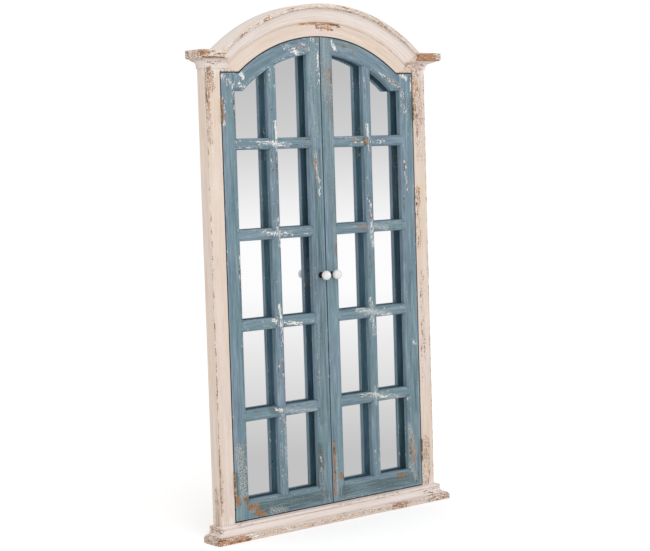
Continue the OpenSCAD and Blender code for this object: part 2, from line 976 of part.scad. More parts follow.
// Front view of the right door
module door_outline() {
    intersection() {
        opening(-end_gap);
        translate([door_meet_x, 0]) square([door_hinge_x - door_meet_x, far]);
    }
}

// A door blank between two widths and two heights
module blank(x0, x1, z0, z1) {
    front_slab(face_y, door_back_y) intersection() {
        door_outline();
        translate([x0, z0]) square([x1 - x0, z1 - z0]);
    }
}

// Stub tenon along X, from one width to another
module tenon_x(x0, x1, z0, z1) {
    span([x0, tenon_front_y, z0], [x1, tenon_front_y + door_tenon_t, z1]);
}

function bar_z(i) = pane_bottom + i * row_pitch - bar_h;

// Tenons of every rail and bar in the two stiles
module stile_tenons() {
    x0 = pane_inner_x - door_tenon_l;
    x1 = pane_outer_x + door_tenon_l;
    tenon_x(x0, x1, door_bottom + rail_tenon_inset, pane_bottom - rail_tenon_inset);
    for (i = [1:bars])
        tenon_x(x0, x1, bar_z(i) + bar_tenon_inset, bar_z(i) + bar_h - bar_tenon_inset);
    tenon_x(pane_outer_x - tenon_root, x1,
        pane_shoulder_z + rail_tenon_inset, door_shoulder_z - rail_tenon_inset);
    tenon_x(x0, pane_inner_x + tenon_root,
        rail_tenon_z - rail_tenon_inset, rail_tenon_z + rail_tenon_inset);
}

// Height of the arched rail's tenon at the meeting stile
rail_tenon_z = arch_cz + sqrt(pow((pane_top_r + door_top_r) / 2, 2) - pane_inner_x * pane_inner_x);

// The upright bar's tenons, up into the arched rail and down into the bottom rail
module muntin_tenons() {
    x0 = muntin_in_x + muntin_tenon_inset;
    x1 = muntin_out_x - muntin_tenon_inset;
    span([x0, tenon_front_y, pane_bottom - door_tenon_l],
         [x1, tenon_front_y + door_tenon_t, pane_bottom + tenon_root]);
    span([x0, tenon_front_y, muntin_top_z],
         [x1, tenon_front_y + door_tenon_t, muntin_top_z + muntin_rise + door_tenon_l]);
}

// Lowest point of the upright bar's curved top end
muntin_top_z = arch_cz + sqrt(pane_top_r * pane_top_r - muntin_out_x * muntin_out_x);
// How much higher that end is at the bar's inner edge
muntin_rise = arch_cz + sqrt(pane_top_r * pane_top_r - muntin_in_x * muntin_in_x) - muntin_top_z;

module hinge_stile_right() {
    difference() {
        blank(pane_outer_x, door_hinge_x, door_bottom, far);
        panes();
        stile_tenons();
        for (z = hinge_zs) {
            door_gain(z);
            hinge_screw_holes(z, -1);
        }
    }
}

module meeting_stile_right() {
    difference() {
        blank(door_meet_x, pane_inner_x, door_bottom, far);
        panes();
        stile_tenons();
        rod_y(knob_x, knob_cz, knob_bore_r, face_y - past, door_back_y + past);
    }
}

module bottom_rail_right() {
    difference() {
        union() {
            blank(pane_inner_x, pane_outer_x, door_bottom, pane_bottom);
            intersection() {
                stile_tenons();
                span([0, -far, 0], [far, far, pane_bottom]);
                tenon_zones();
            }
        }
        panes();
        muntin_tenons();
    }
}

// Everything beside the paned part of the door, and the roots of the tenons
module tenon_zones() {
    span([0, -far, 0], [pane_inner_x + tenon_root, far, far]);
    span([pane_outer_x - tenon_root, -far, 0], [far, far, far]);
}

module arched_rail_right() {
    difference() {
        union() {
            blank(pane_inner_x, pane_outer_x, top_row_z, far);
            intersection() {
                stile_tenons();
                span([0, -far, pane_shoulder_z], [far, far, far]);
                tenon_zones();
            }
        }
        panes();
        front_slab(face_y - past, door_back_y + past) muntin_outline(top_row_z - past);
        muntin_tenons();
    }
}

// Front view of the upright bar, from a height up to the arched rail
module muntin_outline(z0) {
    intersection() {
        translate([muntin_in_x, z0]) square([muntin_w, far]);
        union() {
            square([far, pane_shoulder_z]);
            translate([0, arch_cz]) circle(r = pane_top_r, $fn = 96);
        }
    }
}

module muntin_right() {
    difference() {
        union() {
            front_slab(face_y, door_back_y) muntin_outline(pane_bottom);
            muntin_tenons();
        }
        panes();
        for (i = [1:bars])
            span([muntin_in_x - past, halving_y, bar_z(i)],
                 [muntin_out_x + past, door_back_y + past, bar_z(i) + bar_h]);
    }
}

module bar_right(i) {
    difference() {
        union() {
            span([pane_inner_x, face_y, bar_z(i)], [pane_outer_x, door_back_y, bar_z(i) + bar_h]);
            intersection() {
                stile_tenons();
                span([0, -far, bar_z(i)], [far, far, bar_z(i) + bar_h]);
                tenon_zones();
            }
        }
        panes();
        span([muntin_in_x, face_y - past, bar_z(i) - past],
             [muntin_out_x, halving_y, bar_z(i) + bar_h + past]);
    }
}

// ---------------------------------------------------------------- knobs

// Turns a profile of [radius, distance out of the door's face] about the knob's axis
module knob_turning(points) {
    translate([knob_x, face_y, knob_cz]) rotate([90, 0, 0]) rotate_extrude() polygon(points);
}

// The ball, cut flat where it sits on the collar and drilled for the bolt
module knob_right() {
    knob_turning(concat(
        [[0, knob_seat + knob_socket_d], [knob_bore_r, knob_seat + knob_socket_d], [knob_bore_r, knob_seat]],
        arc_points(0, knob_out, knob_r, -knob_seat_angle, 90, knob_steps)
    ));
}

module knob_collar_right() {
    knob_turning([
        [knob_bore_r, 0],
        [collar_r, 0],
        [collar_r, collar_flange_t],
        [collar_r - collar_bevel, collar_flange_t + collar_bevel],
        [collar_neck_r, collar_flange_t + 2 * collar_bevel],
        [collar_neck_r, knob_seat],
        [knob_bore_r, knob_seat]
    ]);
}

module knob_bolt_right() {
    rod_y(knob_x, knob_cz, knob_bolt_r,
        face_y - knob_seat - knob_socket_d + knob_socket_gap, door_back_y);
    rod_y(knob_x, knob_cz, knob_bolt_head_r, door_back_y, door_back_y + knob_bolt_head_h);
}

// ---------------------------------------------------------------- the doors' nodes

module left_hinge_stile() { color(blue) left() hinge_stile_right(); }
module left_meeting_stile() { color(blue) left() meeting_stile_right(); }
module left_bottom_rail() { color(blue) left() bottom_rail_right(); }
module left_arched_rail() { color(blue) left() arched_rail_right(); }
module left_muntin() { color(blue) left() muntin_right(); }
module left_bar(i) { color(blue) left() bar_right(i); }
module left_knob() { color(porcelain) left() knob_right(); }
module left_knob_collar() { color(iron) left() knob_collar_right(); }
module left_knob_bolt() { color(iron) left() knob_bolt_right(); }

module right_hinge_stile() { color(blue) hinge_stile_right(); }
module right_meeting_stile() { color(blue) meeting_stile_right(); }
module right_bottom_rail() { color(blue) bottom_rail_right(); }
module right_arched_rail() { color(blue) arched_rail_right(); }
module right_muntin() { color(blue) muntin_right(); }
module right_bar(i) { color(blue) bar_right(i); }
module right_knob() { color(porcelain) knob_right(); }
module right_knob_collar() { color(iron) knob_collar_right(); }
module right_knob_bolt() { color(iron) knob_bolt_right(); }

left_post();
right_post();
sill_rail();
arch_board();
arch_moulding();
left_capital_slab();
right_capital_slab();
left_capital_cove();
right_capital_cove();
plinth();
base_cove_front();
base_cove_left();
base_cove_right();
left_stop();
right_stop();
sill_stop();
arch_stop();
mirror_glass();
back_panel();
panel_screws();
hanger_plates();
hanger_screws();
left_frame_hinge_leaves();
right_frame_hinge_leaves();
frame_hinge_screws();
left_hinge_pins();
right_hinge_pins();
magnet_catches();
left_hinge_stile();
left_meeting_stile();
left_bottom_rail();
left_arched_rail();
left_muntin();
left_bar(1);  // left_bar_1
left_bar(2);  // left_bar_2
left_bar(3);  // left_bar_3
left_bar(4);  // left_bar_4
left_door_hinge_leaves();
left_door_hinge_screws();
left_knob();
left_knob_collar();
left_knob_bolt();
left_strike_plate();
right_hinge_stile();
right_meeting_stile();
right_bottom_rail();
right_arched_rail();
right_muntin();
right_bar(1);  // right_bar_1
right_bar(2);  // right_bar_2
right_bar(3);  // right_bar_3
right_bar(4);  // right_bar_4
right_door_hinge_leaves();
right_door_hinge_screws();
right_knob();
right_knob_collar();
right_knob_bolt();
right_strike_plate();
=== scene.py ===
"""Looks of an arched wall mirror with painted shutter doors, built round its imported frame.

Lengths are metres in the frame's own axes: +Z is up, the front faces -Y and the wall plane is
y = 0. Marks of wear and nail heads are given in millimetres.
"""

from __future__ import annotations

import json
import logging
import math
from collections.abc import Sequence
from dataclasses import dataclass, field, replace
from enum import Enum
from functools import reduce
from typing import ClassVar

import bmesh
import bpy
import numpy as np
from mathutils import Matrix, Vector, noise
from mathutils.bvhtree import BVHTree
from mathutils.kdtree import KDTree


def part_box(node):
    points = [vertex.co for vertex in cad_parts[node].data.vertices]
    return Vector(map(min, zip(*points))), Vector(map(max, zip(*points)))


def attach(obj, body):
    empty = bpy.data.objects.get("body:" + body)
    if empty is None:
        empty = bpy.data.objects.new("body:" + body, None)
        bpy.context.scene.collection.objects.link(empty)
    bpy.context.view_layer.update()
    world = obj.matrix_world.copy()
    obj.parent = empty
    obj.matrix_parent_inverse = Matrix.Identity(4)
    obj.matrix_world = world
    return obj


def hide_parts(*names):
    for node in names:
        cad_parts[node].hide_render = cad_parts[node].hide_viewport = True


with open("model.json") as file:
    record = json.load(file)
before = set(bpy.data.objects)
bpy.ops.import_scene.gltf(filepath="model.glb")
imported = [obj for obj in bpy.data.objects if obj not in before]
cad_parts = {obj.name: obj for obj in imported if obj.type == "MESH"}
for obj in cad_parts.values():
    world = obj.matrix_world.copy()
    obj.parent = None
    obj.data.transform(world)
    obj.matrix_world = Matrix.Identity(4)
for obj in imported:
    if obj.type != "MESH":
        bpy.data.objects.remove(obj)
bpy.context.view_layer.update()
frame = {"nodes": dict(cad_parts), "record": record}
BOXES = {node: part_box(node) for node in frame["nodes"]}

log = logging.getLogger("shutter_mirror")

SIDES = ("left", "right")
MM = 0.001

Socket = bpy.types.NodeSocket
Value = float | tuple[float, ...] | Socket
Colour = tuple[float, float, float, float]


def srgb(red: float, green: float, blue: float) -> Colour:
    """Turns a colour of 0 to 255 per channel, as a photograph gives it, into a linear one.

    Args:
        red: Red channel, 0 to 255.
        green: Green channel, 0 to 255.
        blue: Blue channel, 0 to 255.

    Returns:
        The linear colour with an alpha of 1.
    """

    def linear(channel: float) -> float:
        """Undoes the display curve for one channel."""
        share = channel / 255
        return share / 12.92 if share <= 0.04045 else ((share + 0.055) / 1.055) ** 2.4

    return (linear(red), linear(green), linear(blue), 1.0)


def grey(level: float) -> Colour:
    """A linear grey."""
    return (level, level, level, 1.0)


# ---------------------------------------------------------------- shader nodes


@dataclass(frozen=True)
class Pattern:
    """A cloudy noise.

    Scale is how many blotches there are to a metre, along each axis or every way alike. Detail is
    the number of finer layers, roughness their strength, and distortion how far they are pulled.
    """

    scale: float | tuple[float, float, float]
    detail: float = 4.0
    roughness: float = 0.55
    distortion: float = 0.0


class Graph:
    """Adds nodes to one shader tree and wires them as they are added."""

    def __init__(self, tree: bpy.types.NodeTree) -> None:
        """Empties the tree.

        Args:
            tree: The node tree of a material or of the world.
        """
        self.tree = tree
        tree.nodes.clear()

    def add(
        self, kind: str, inputs: dict[str | int, Value] | None = None, **settings: object
    ) -> bpy.types.Node:
        """Adds one node.

        Args:
            kind: The node's Blender type.
            inputs: A value or a socket for each input, by name or number.
            settings: Properties of the node.

        Returns:
            The new node.
        """
        made = self.tree.nodes.new(kind)
        for name, setting in settings.items():
            setattr(made, name, setting)
        for key, value in (inputs or {}).items():
            if isinstance(value, Socket):
                self.tree.links.new(value, made.inputs[key])
            else:
                made.inputs[key].default_value = value
        return made

    def place(self) -> Socket:
        """The point of the surface at rest, in metres."""
        return self.add("ShaderNodeTexCoord").outputs["Object"]

    def attribute(self, name: str, output: str = "Fac") -> Socket:
        """A value stored on the mesh, by its name."""
        return self.add("ShaderNodeAttribute", attribute_name=name).outputs[output]

    def stretch(self, vector: Socket, scale: tuple[float, float, float]) -> Socket:
        """Scales a vector along each of its axes."""
        inputs = {0: vector, 1: scale}
        return self.add("ShaderNodeVectorMath", inputs, operation="MULTIPLY").outputs[0]

    def noise(self, vector: Socket, pattern: Pattern) -> Socket:
        """Reads a pattern.

        Args:
            vector: Where it is read.
            pattern: The noise.

        Returns:
            The noise's value, from 0 to 1.
        """
        scale = pattern.scale
        if isinstance(scale, tuple):
            vector, scale = self.stretch(vector, scale), 1.0
        inputs = {
            "Vector": vector,
            "Scale": scale,
            "Detail": pattern.detail,
            "Roughness": pattern.roughness,
            "Distortion": pattern.distortion,
        }
        return self.add("ShaderNodeTexNoise", inputs).outputs[0]

    def calc(self, operation: str, a: Value, b: Value = 0.0, c: Value = 0.0) -> Socket:
        """One sum of up to three numbers."""
        return self.add("ShaderNodeMath", {0: a, 1: b, 2: c}, operation=operation).outputs[0]

    def times(self, *values: Value) -> Socket:
        """The product of two or more numbers."""
        return reduce(lambda a, b: self.calc("MULTIPLY", a, b), values)

    def most(self, *values: Value) -> Socket:
        """The largest of two or more numbers."""
        return reduce(lambda a, b: self.calc("MAXIMUM", a, b), values)

    def step(
        self, value: Value, low: float, high: float, start: float = 0.0, end: float = 1.0
    ) -> Socket:
        """Goes smoothly from start to end while value goes from low to high."""
        return self.add(
            "ShaderNodeMapRange",
            {"Value": value, "From Min": low, "From Max": high, "To Min": start, "To Max": end},
            interpolation_type="SMOOTHSTEP",
        ).outputs[0]

    def even(self, value: Socket, low: float = 0.33, high: float = 0.67) -> Socket:
        """Spreads a noise so that about equal areas of it lie at each level from 0 to 1."""
        return self.step(value, low, high)

    def mix(self, share: Value, a: Value, b: Value) -> Socket:
        """Mixes two colours."""
        made = self.add("ShaderNodeMix", {0: share, 6: a, 7: b}, data_type="RGBA")
        return made.outputs[2]

    def tint(self, colour: Socket, before: Colour, after: Colour) -> Socket:
        """Shifts every shade of a colour by what turns one shade into another."""
        change = tuple(new / old for new, old in zip(after[:3], before[:3]))
        return self.stretch(colour, change)

    def ramp(self, value: Socket, stops: Sequence[tuple[float, Sequence[float]]]) -> Socket:
        """Turns a value into a colour through a list of stops.

        Args:
            value: A number from 0 to 1.
            stops: Pairs of a place from 0 to 1 and a linear colour.

        Returns:
            The colour.
        """
        made = self.add("ShaderNodeValToRGB", {0: value})
        elements = made.color_ramp.elements
        while len(elements) < len(stops):
            elements.new(0.5)
        for element, (position, colour) in zip(elements, stops):
            element.position = position
            element.color = colour
        return made.outputs[0]

    def bump(self, height: Socket, depth: float) -> Socket:
        """Dents the surface by a height of 0 to 1 times depth, in metres."""
        inputs = {"Height": height, "Distance": depth, "Strength": 1.0}
        return self.add("ShaderNodeBump", inputs).outputs[0]

    def surface(self, inputs: dict[str | int, Value]) -> None:
        """Ends a material in one Principled surface with these inputs."""
        shader = self.add("ShaderNodeBsdfPrincipled", inputs)
        self.add("ShaderNodeOutputMaterial", {0: shader.outputs[0]})


def new_material(name: str) -> tuple[bpy.types.Material, Graph]:
    """Starts a material.

    Args:
        name: The material's name.

    Returns:
        The material and the graph that fills it.
    """
    material = bpy.data.materials.new(name)
    material.use_nodes = True
    return material, Graph(material.node_tree)


# ---------------------------------------------------------------- finishes


@dataclass(frozen=True)
class PaintPatterns:
    """The noises of old paint, those with three scales along and across the grain."""

    cloud: Pattern = Pattern((5, 26, 26), 4, 0.6)
    broad_stroke: Pattern = Pattern((7, 120, 120), 4, 0.6, 0.4)
    fine_stroke: Pattern = Pattern((22, 520, 520), 4, 0.65)
    bristles: Pattern = Pattern((22, 760, 760), 4, 0.6)
    dust: Pattern = Pattern((160, 460, 460), 3, 0.6)
    streaks: Pattern = Pattern((9, 330, 330), 5, 0.65)
    dirt: Pattern = Pattern((30, 90, 90), 4, 0.6)
    flakes: Pattern = Pattern((90, 290, 290), 6, 0.72)
    splinters: Pattern = Pattern((48, 330, 330), 6, 0.66)
    wood_grain: Pattern = Pattern((14, 420, 420), 5, 0.65)
    grit: Pattern = Pattern(260, 4, 0.62)
    pits: Pattern = Pattern(430, 2, 0.6)
    speckles: Pattern = Pattern(560, 2, 0.6)
    flecks: Pattern = Pattern(560, 2, 0.5)
    rags: Pattern = Pattern((60, 60, 140), 6, 0.75)  # read upright on every piece
    chipped_arrises: Pattern = Pattern(14, 3)
    bare_arrises: Pattern = Pattern(9, 3)
    undercoat_dirt: Pattern = Pattern(190)
    wood_dirt: Pattern = Pattern(60)
    sheen: Pattern = Pattern(90)


@dataclass(frozen=True)
class OldPaint:
    """Old paint on wood: brushed, with grime and painted shade in its corners, chipped to an
    undercoat and bare wood.

    Each share is how strongly its layer covers the one before, from 0 to 1.
    """

    name: str
    body: Colour
    light: Colour
    deep: Colour
    warm: Colour
    cool: Colour
    inside: Colour
    undercoat: Colour
    wood_light: Colour
    wood_dark: Colour
    dabbed: Colour
    rubbed: Colour
    sooty_and_shaded: Colour
    # The tone of the grime and painted shade towards inner corners
    corner_grime_and_shade: Colour
    # The tone of the painted shade and dirt along narrow gaps between bodies
    gap: Colour
    dust: Colour
    dust_share: float
    stroke_share: float
    cloud_share: float
    corner_grime_and_shade_share: float
    arris_chips: float
    arris_wood: float
    arris_highlight: float
    rim_share: float
    fleck: float
    fleck_tone: Colour
    roughness: float
    worn_roughness: float = 0.88
    shine: float = 0.32
    streak_share: float = 0.9
    fleck_share: float = 0.8
    frost_share: float = 0.75
    pit_share: float = 0.8
    dab_share: float = 0.92
    gap_shade_share: float = 0.85
    relief: float = 0.26 * MM
    patterns: PaintPatterns = PaintPatterns()

    def build(self) -> bpy.types.Material:
        """Makes the material.

        Returns:
            A material that reads the wear stored on a painted piece's mesh.
        """
        material, g = new_material(self.name)
        patterns = self.patterns
        grain = g.attribute("grain", "Vector")
        place = g.place()
        arris = g.attribute("arris")
        corner = g.attribute("corner")
        grit = g.even(g.noise(place, patterns.grit))
        splinter = g.even(g.noise(grain, patterns.splinters))
        between = g.calc("MULTIPLY_ADD", g.calc("SUBTRACT", splinter, grit), 0.62, grit)
        torn = g.even(between, 0.15, 0.85)

        patchy = g.step(g.noise(place, patterns.chipped_arrises), 0.45, 0.66)
        chip = self._loss(
            g,
            self._worn(g, g.attribute("chip"), arris, patchy, self.arris_chips),
            g.even(g.noise(grain, patterns.flakes)),
        )
        frost = self._loss(g, g.attribute("frost"), g.even(g.noise(place, patterns.speckles)))
        patchy = g.step(g.noise(place, patterns.bare_arrises), 0.5, 0.7)
        worn = self._worn(g, g.attribute("bare"), arris, patchy, self.arris_wood)
        rim = self._loss(g, g.calc("ADD", worn, g.step(worn, 0.05, 0.3, 0.0, 0.09)), torn)
        pale = g.most(chip, g.times(frost, self.frost_share), g.times(rim, self.rim_share))
        pit = self._loss(g, g.attribute("pit"), g.even(g.noise(place, patterns.pits)))
        bare = g.most(self._loss(g, worn, torn), g.times(pit, self.pit_share))
        ragged = g.calc("MULTIPLY_ADD", g.noise(place, patterns.rags), 5.0, -1.5)
        dab = g.step(g.times(g.attribute("dab"), ragged), 0.4, 0.62)
        fleck = g.step(g.noise(place, patterns.flecks), self.fleck, self.fleck + 0.03)

        colour = self._coat(g, grain)
        colour = g.mix(g.attribute("inside"), colour, g.tint(colour, self.body, self.inside))
        colour = self._soiled_and_shaded(g, colour, grain, arris, corner)
        colour = g.mix(g.times(fleck, self.fleck_share), colour, self.fleck_tone)
        colour = g.mix(pale, colour, self._undercoat_tone(g, place))
        colour = g.mix(bare, colour, self._wood_tone(g, grain, place, corner))
        dabbed = g.mix(g.step(grit, 0.3, 0.9), self.dabbed, self.wood_light)
        dabbed = g.mix(g.step(splinter, 0.62, 0.9, 0.0, 0.8), dabbed, self.wood_dark)
        colour = g.mix(g.times(dab, self.dab_share), colour, dabbed)
        # Painted shade and dirt: a dark line on faces across a narrow gap from another body
        colour = g.mix(g.times(g.attribute("gap"), self.gap_shade_share), colour, self.gap)

        lost = g.most(g.calc("ADD", g.times(pale, 0.5), bare), dab)
        brush = g.noise(grain, patterns.bristles)
        height = g.calc("SUBTRACT", g.times(brush, 0.5), g.times(lost, 0.9))
        matt = g.calc("ADD", lost, g.noise(place, patterns.sheen))
        g.surface(
            {
                "Base Color": colour,
                "Roughness": g.step(matt, 0.3, 1.3, self.roughness, self.worn_roughness),
                "Specular IOR Level": self.shine,
                "Normal": g.bump(height, self.relief),
            }
        )
        return material

    def _coat(self, g: Graph, grain: Socket) -> Socket:
        """The paint itself: broad clouds of tint, long brush strokes and fine bristle lines.

        Args:
            g: The material's graph.
            grain: Place along, across and through the piece.

        Returns:
            The paint's colour.
        """
        patterns = self.patterns
        cloud = g.noise(grain, patterns.cloud)
        colour = g.mix(g.step(cloud, 0.48, 0.66, 0.0, self.cloud_share), self.body, self.warm)
        colour = g.mix(g.step(cloud, 0.5, 0.34, 0.0, self.cloud_share), colour, self.cool)
        broad = g.noise(grain, patterns.broad_stroke)
        fine = g.noise(grain, patterns.fine_stroke)
        stroke = g.calc("MULTIPLY_ADD", g.calc("SUBTRACT", broad, fine), 0.5, fine)
        colour = g.mix(g.step(stroke, 0.5, 0.62, 0.0, self.stroke_share), colour, self.light)
        colour = g.mix(g.step(stroke, 0.5, 0.39, 0.0, self.stroke_share), colour, self.deep)
        dust = g.noise(grain, patterns.dust)
        return g.mix(g.step(dust, 0.5, 0.66, 0.0, self.dust_share), colour, self.dust)

    def _soiled_and_shaded(
        self, g: Graph, colour: Socket, grain: Socket, arris: Socket, corner: Socket
    ) -> Socket:
        """The coat with a painted highlight on its arrises, chalky and dark streaks, and grime and
        painted shade in its corners.

        Args:
            g: The material's graph.
            colour: The clean coat.
            grain: Place along, across and through the piece.
            arris: Closeness to an outer corner, 0 to 1.
            corner: Closeness to an inner corner, 0 to 1.

        Returns:
            The coat's colour.
        """
        patterns = self.patterns
        # Painted highlight: the coat is lightened along its arrises
        colour = g.mix(g.times(arris, self.arris_highlight), colour, self.light)
        streak = g.even(g.noise(grain, patterns.streaks))
        # Rubbed and sooty streaks, which in some marks are a painted highlight and painted shade
        for kind, start, tone in (("rub", -0.3, self.rubbed), ("soot_and_shade", -0.5, self.sooty_and_shaded)):
            stored = g.attribute(kind)
            share = g.step(g.calc("SUBTRACT", stored, streak), start, 0.4, 0.0, self.streak_share)
            colour = g.mix(g.times(share, g.step(stored, 0.0, 0.3)), colour, tone)
        # Grime and painted shade: the coat darkens towards inner corners, broken by a dirt noise
        broken = g.step(g.noise(grain, patterns.dirt), 0.36, 0.6, 0.25, 1.0)
        return g.mix(g.times(corner, broken, self.corner_grime_and_shade_share), colour, self.corner_grime_and_shade)

    @staticmethod
    def _worn(g: Graph, stored: Socket, arris: Socket, patchy: Socket, on_arris: float) -> Socket:
        """The share of a coat that is lost: the stored marks, or a worn stretch of arris."""
        return g.most(stored, g.times(arris, patchy, on_arris))

    @staticmethod
    def _loss(g: Graph, share: Socket, flake: Socket) -> Socket:
        """Breaks a share of wear into flakes: 0 where the coat holds and 1 where it is gone."""
        return g.step(g.calc("SUBTRACT", share, flake), 0.02, 0.07)

    def _undercoat_tone(self, g: Graph, place: Socket) -> Socket:
        """The undercoat, a little dirty."""
        dirt = g.step(g.noise(place, self.patterns.undercoat_dirt), 0.45, 0.75, 0.0, 0.4)
        return g.mix(dirt, self.undercoat, self.wood_light)

    def _wood_tone(self, g: Graph, grain: Socket, place: Socket, corner: Socket) -> Socket:
        """Bare wood with its grain, darkest in corners.

        Args:
            g: The material's graph.
            grain: Place along, across and through the piece.
            place: Place on the object.
            corner: Closeness to an inner corner, 0 to 1.

        Returns:
            The wood's colour.
        """
        lines = g.noise(grain, self.patterns.wood_grain)
        dirt = g.noise(place, self.patterns.wood_dirt)
        dark = g.calc("ADD", g.calc("ADD", lines, dirt), g.times(corner, 0.5))
        return g.mix(g.step(dark, 0.9, 1.2), self.wood_light, self.wood_dark)


CREAM_PAINT = OldPaint(
    name="cream_paint",
    body=srgb(231, 214, 200),
    light=srgb(242, 231, 221),
    deep=srgb(214, 192, 175),
    warm=srgb(233, 212, 191),
    cool=srgb(231, 214, 209),
    inside=srgb(214, 196, 180),
    undercoat=srgb(246, 242, 236),
    wood_light=srgb(198, 152, 118),
    wood_dark=srgb(116, 78, 55),
    dabbed=srgb(178, 132, 100),
    rubbed=srgb(243, 232, 227),
    sooty_and_shaded=srgb(176, 148, 126),
    corner_grime_and_shade=srgb(146, 114, 92),
    gap=srgb(92, 76, 64),
    dust=srgb(226, 204, 186),
    dust_share=0.5,
    stroke_share=0.5,
    cloud_share=0.7,
    corner_grime_and_shade_share=0.55,
    arris_chips=0.36,
    arris_wood=0.2,
    arris_highlight=0.25,
    rim_share=0.6,
    fleck=0.72,
    fleck_tone=srgb(160, 128, 104),
    roughness=0.55,
)
BLUE_PAINT = OldPaint(
    name="blue_paint",
    body=srgb(119, 145, 158),
    light=srgb(152, 173, 186),
    deep=srgb(91, 116, 132),
    warm=srgb(113, 144, 149),
    cool=srgb(126, 142, 162),
    inside=srgb(110, 154, 175),
    undercoat=srgb(240, 240, 236),
    wood_light=srgb(178, 136, 100),
    wood_dark=srgb(110, 84, 64),
    dabbed=srgb(154, 118, 88),
    rubbed=srgb(146, 144, 138),
    sooty_and_shaded=srgb(82, 103, 106),
    corner_grime_and_shade=srgb(62, 84, 97),
    gap=srgb(50, 64, 74),
    dust=srgb(140, 146, 146),
    dust_share=0.45,
    stroke_share=0.85,
    cloud_share=0.8,
    corner_grime_and_shade_share=0.62,
    arris_chips=0.42,
    arris_wood=0.3,
    arris_highlight=0.5,
    rim_share=0.3,
    fleck=0.73,
    fleck_tone=srgb(196, 206, 210),
    roughness=0.5,
)


@dataclass(frozen=True)
class Silvering:
    """Polished silvered glass with faint smears."""

    tone: float = 0.985
    smears: Pattern = Pattern(5, 5, 0.6)

    def build(self) -> bpy.types.Material:
        """Makes the mirror's material.

        Returns:
            The material.
        """
        material, g = new_material("silvering")
        smear = g.step(g.noise(g.place(), self.smears), 0.45, 0.8, 0.0, 0.03)
        g.surface(
            {
                "Base Color": grey(self.tone),
                "Metallic": 1.0,
                "Roughness": smear,
            }
        )
        return material


@dataclass(frozen=True)
class Metal:
    """Old metal whose bright parts show through a darker skin.

    Dulled is how much of it the skin covers. Smooth and rough are the two ends of its roughness.
    """

    name: str
    bright: Colour
    dull: Colour
    dulled: float
    smooth: float
    rough: float
    skin: Pattern = Pattern(130, 5, 0.65)
    specks: Pattern = Pattern(900, 2)
    scratches: Pattern = Pattern((2400, 2400, 90), 3)

    def build(self) -> bpy.types.Material:
        """Makes the metal's material.

        Returns:
            The material.
        """
        material, g = new_material(self.name)
        place = g.place()
        skin = g.calc("ADD", g.noise(place, self.skin), g.times(g.noise(place, self.specks), 0.3))
        share = g.step(skin, 0.85 - self.dulled, 1.05 - self.dulled)
        scratch = g.noise(place, self.scratches)
        dulled = g.step(g.calc("ADD", share, scratch), 0.4, 1.5, self.smooth, self.rough)
        g.surface(
            {
                "Base Color": g.mix(share, self.bright, self.dull),
                "Metallic": 1.0,
                "Roughness": dulled,
                "Normal": g.bump(scratch, 0.02 * MM),
            }
        )
        return material


BRASS = Metal("aged_brass", srgb(240, 216, 180), srgb(166, 138, 106), 0.36, 0.3, 0.6)
DARK_IRON = Metal("dark_iron", srgb(92, 80, 70), srgb(52, 42, 36), 0.35, 0.38, 0.6)
STEEL = Metal("zinc_steel", srgb(190, 190, 188), srgb(150, 148, 142), 0.2, 0.3, 0.5)


@dataclass(frozen=True)
class Porcelain:
    """White glazed porcelain."""

    glaze: Colour = srgb(250, 250, 250)
    warm: Colour = srgb(240, 238, 236)
    tinge: Pattern = Pattern(70, 3)
    sheen: Pattern = Pattern(300, 3)
    waves: Pattern = Pattern(120, 2)

    def build(self) -> bpy.types.Material:
        """Makes the glaze's material.

        Returns:
            The material.
        """
        material, g = new_material("porcelain")
        place = g.place()
        tinge = g.step(g.noise(place, self.tinge), 0.4, 0.75)
        g.surface(
            {
                "Base Color": g.mix(tinge, self.glaze, self.warm),
                "Roughness": g.step(g.noise(place, self.sheen), 0.3, 0.8, 0.12, 0.24),
                "Specular IOR Level": 0.5,
                "Coat Weight": 0.6,
                "Coat Roughness": 0.06,
                "Normal": g.bump(g.noise(place, self.waves), 0.03 * MM),
            }
        )
        return material


@dataclass(frozen=True)
class Hardboard:
    """Brown hardboard: matted fibres, a little uneven."""

    body: Colour = srgb(158, 124, 92)
    dark: Colour = srgb(122, 92, 66)
    fibres: Pattern = Pattern((900, 900, 420), 5, 0.7, 1.2)
    blotches: Pattern = Pattern((26, 26, 11), 5, 0.65)

    def build(self) -> bpy.types.Material:
        """Makes the board's material.

        Returns:
            The material.
        """
        material, g = new_material("hardboard")
        place = g.place()
        fibre = g.noise(place, self.fibres)
        uneven = g.calc("MULTIPLY_ADD", g.noise(place, self.blotches), 0.6, fibre)
        g.surface(
            {
                "Base Color": g.mix(g.step(uneven, 0.55, 1.1), self.body, self.dark),
                "Roughness": 0.82,
                "Specular IOR Level": 0.25,
                "Normal": g.bump(fibre, 0.12 * MM),
            }
        )
        return material


# ---------------------------------------------------------------- worn wood


class Grain(Enum):
    """The way a piece's wood and brush strokes run."""

    UPRIGHT = "along Z"
    ACROSS = "along X"
    OUTWARD = "along Y"
    ARCHED = "round the arch"


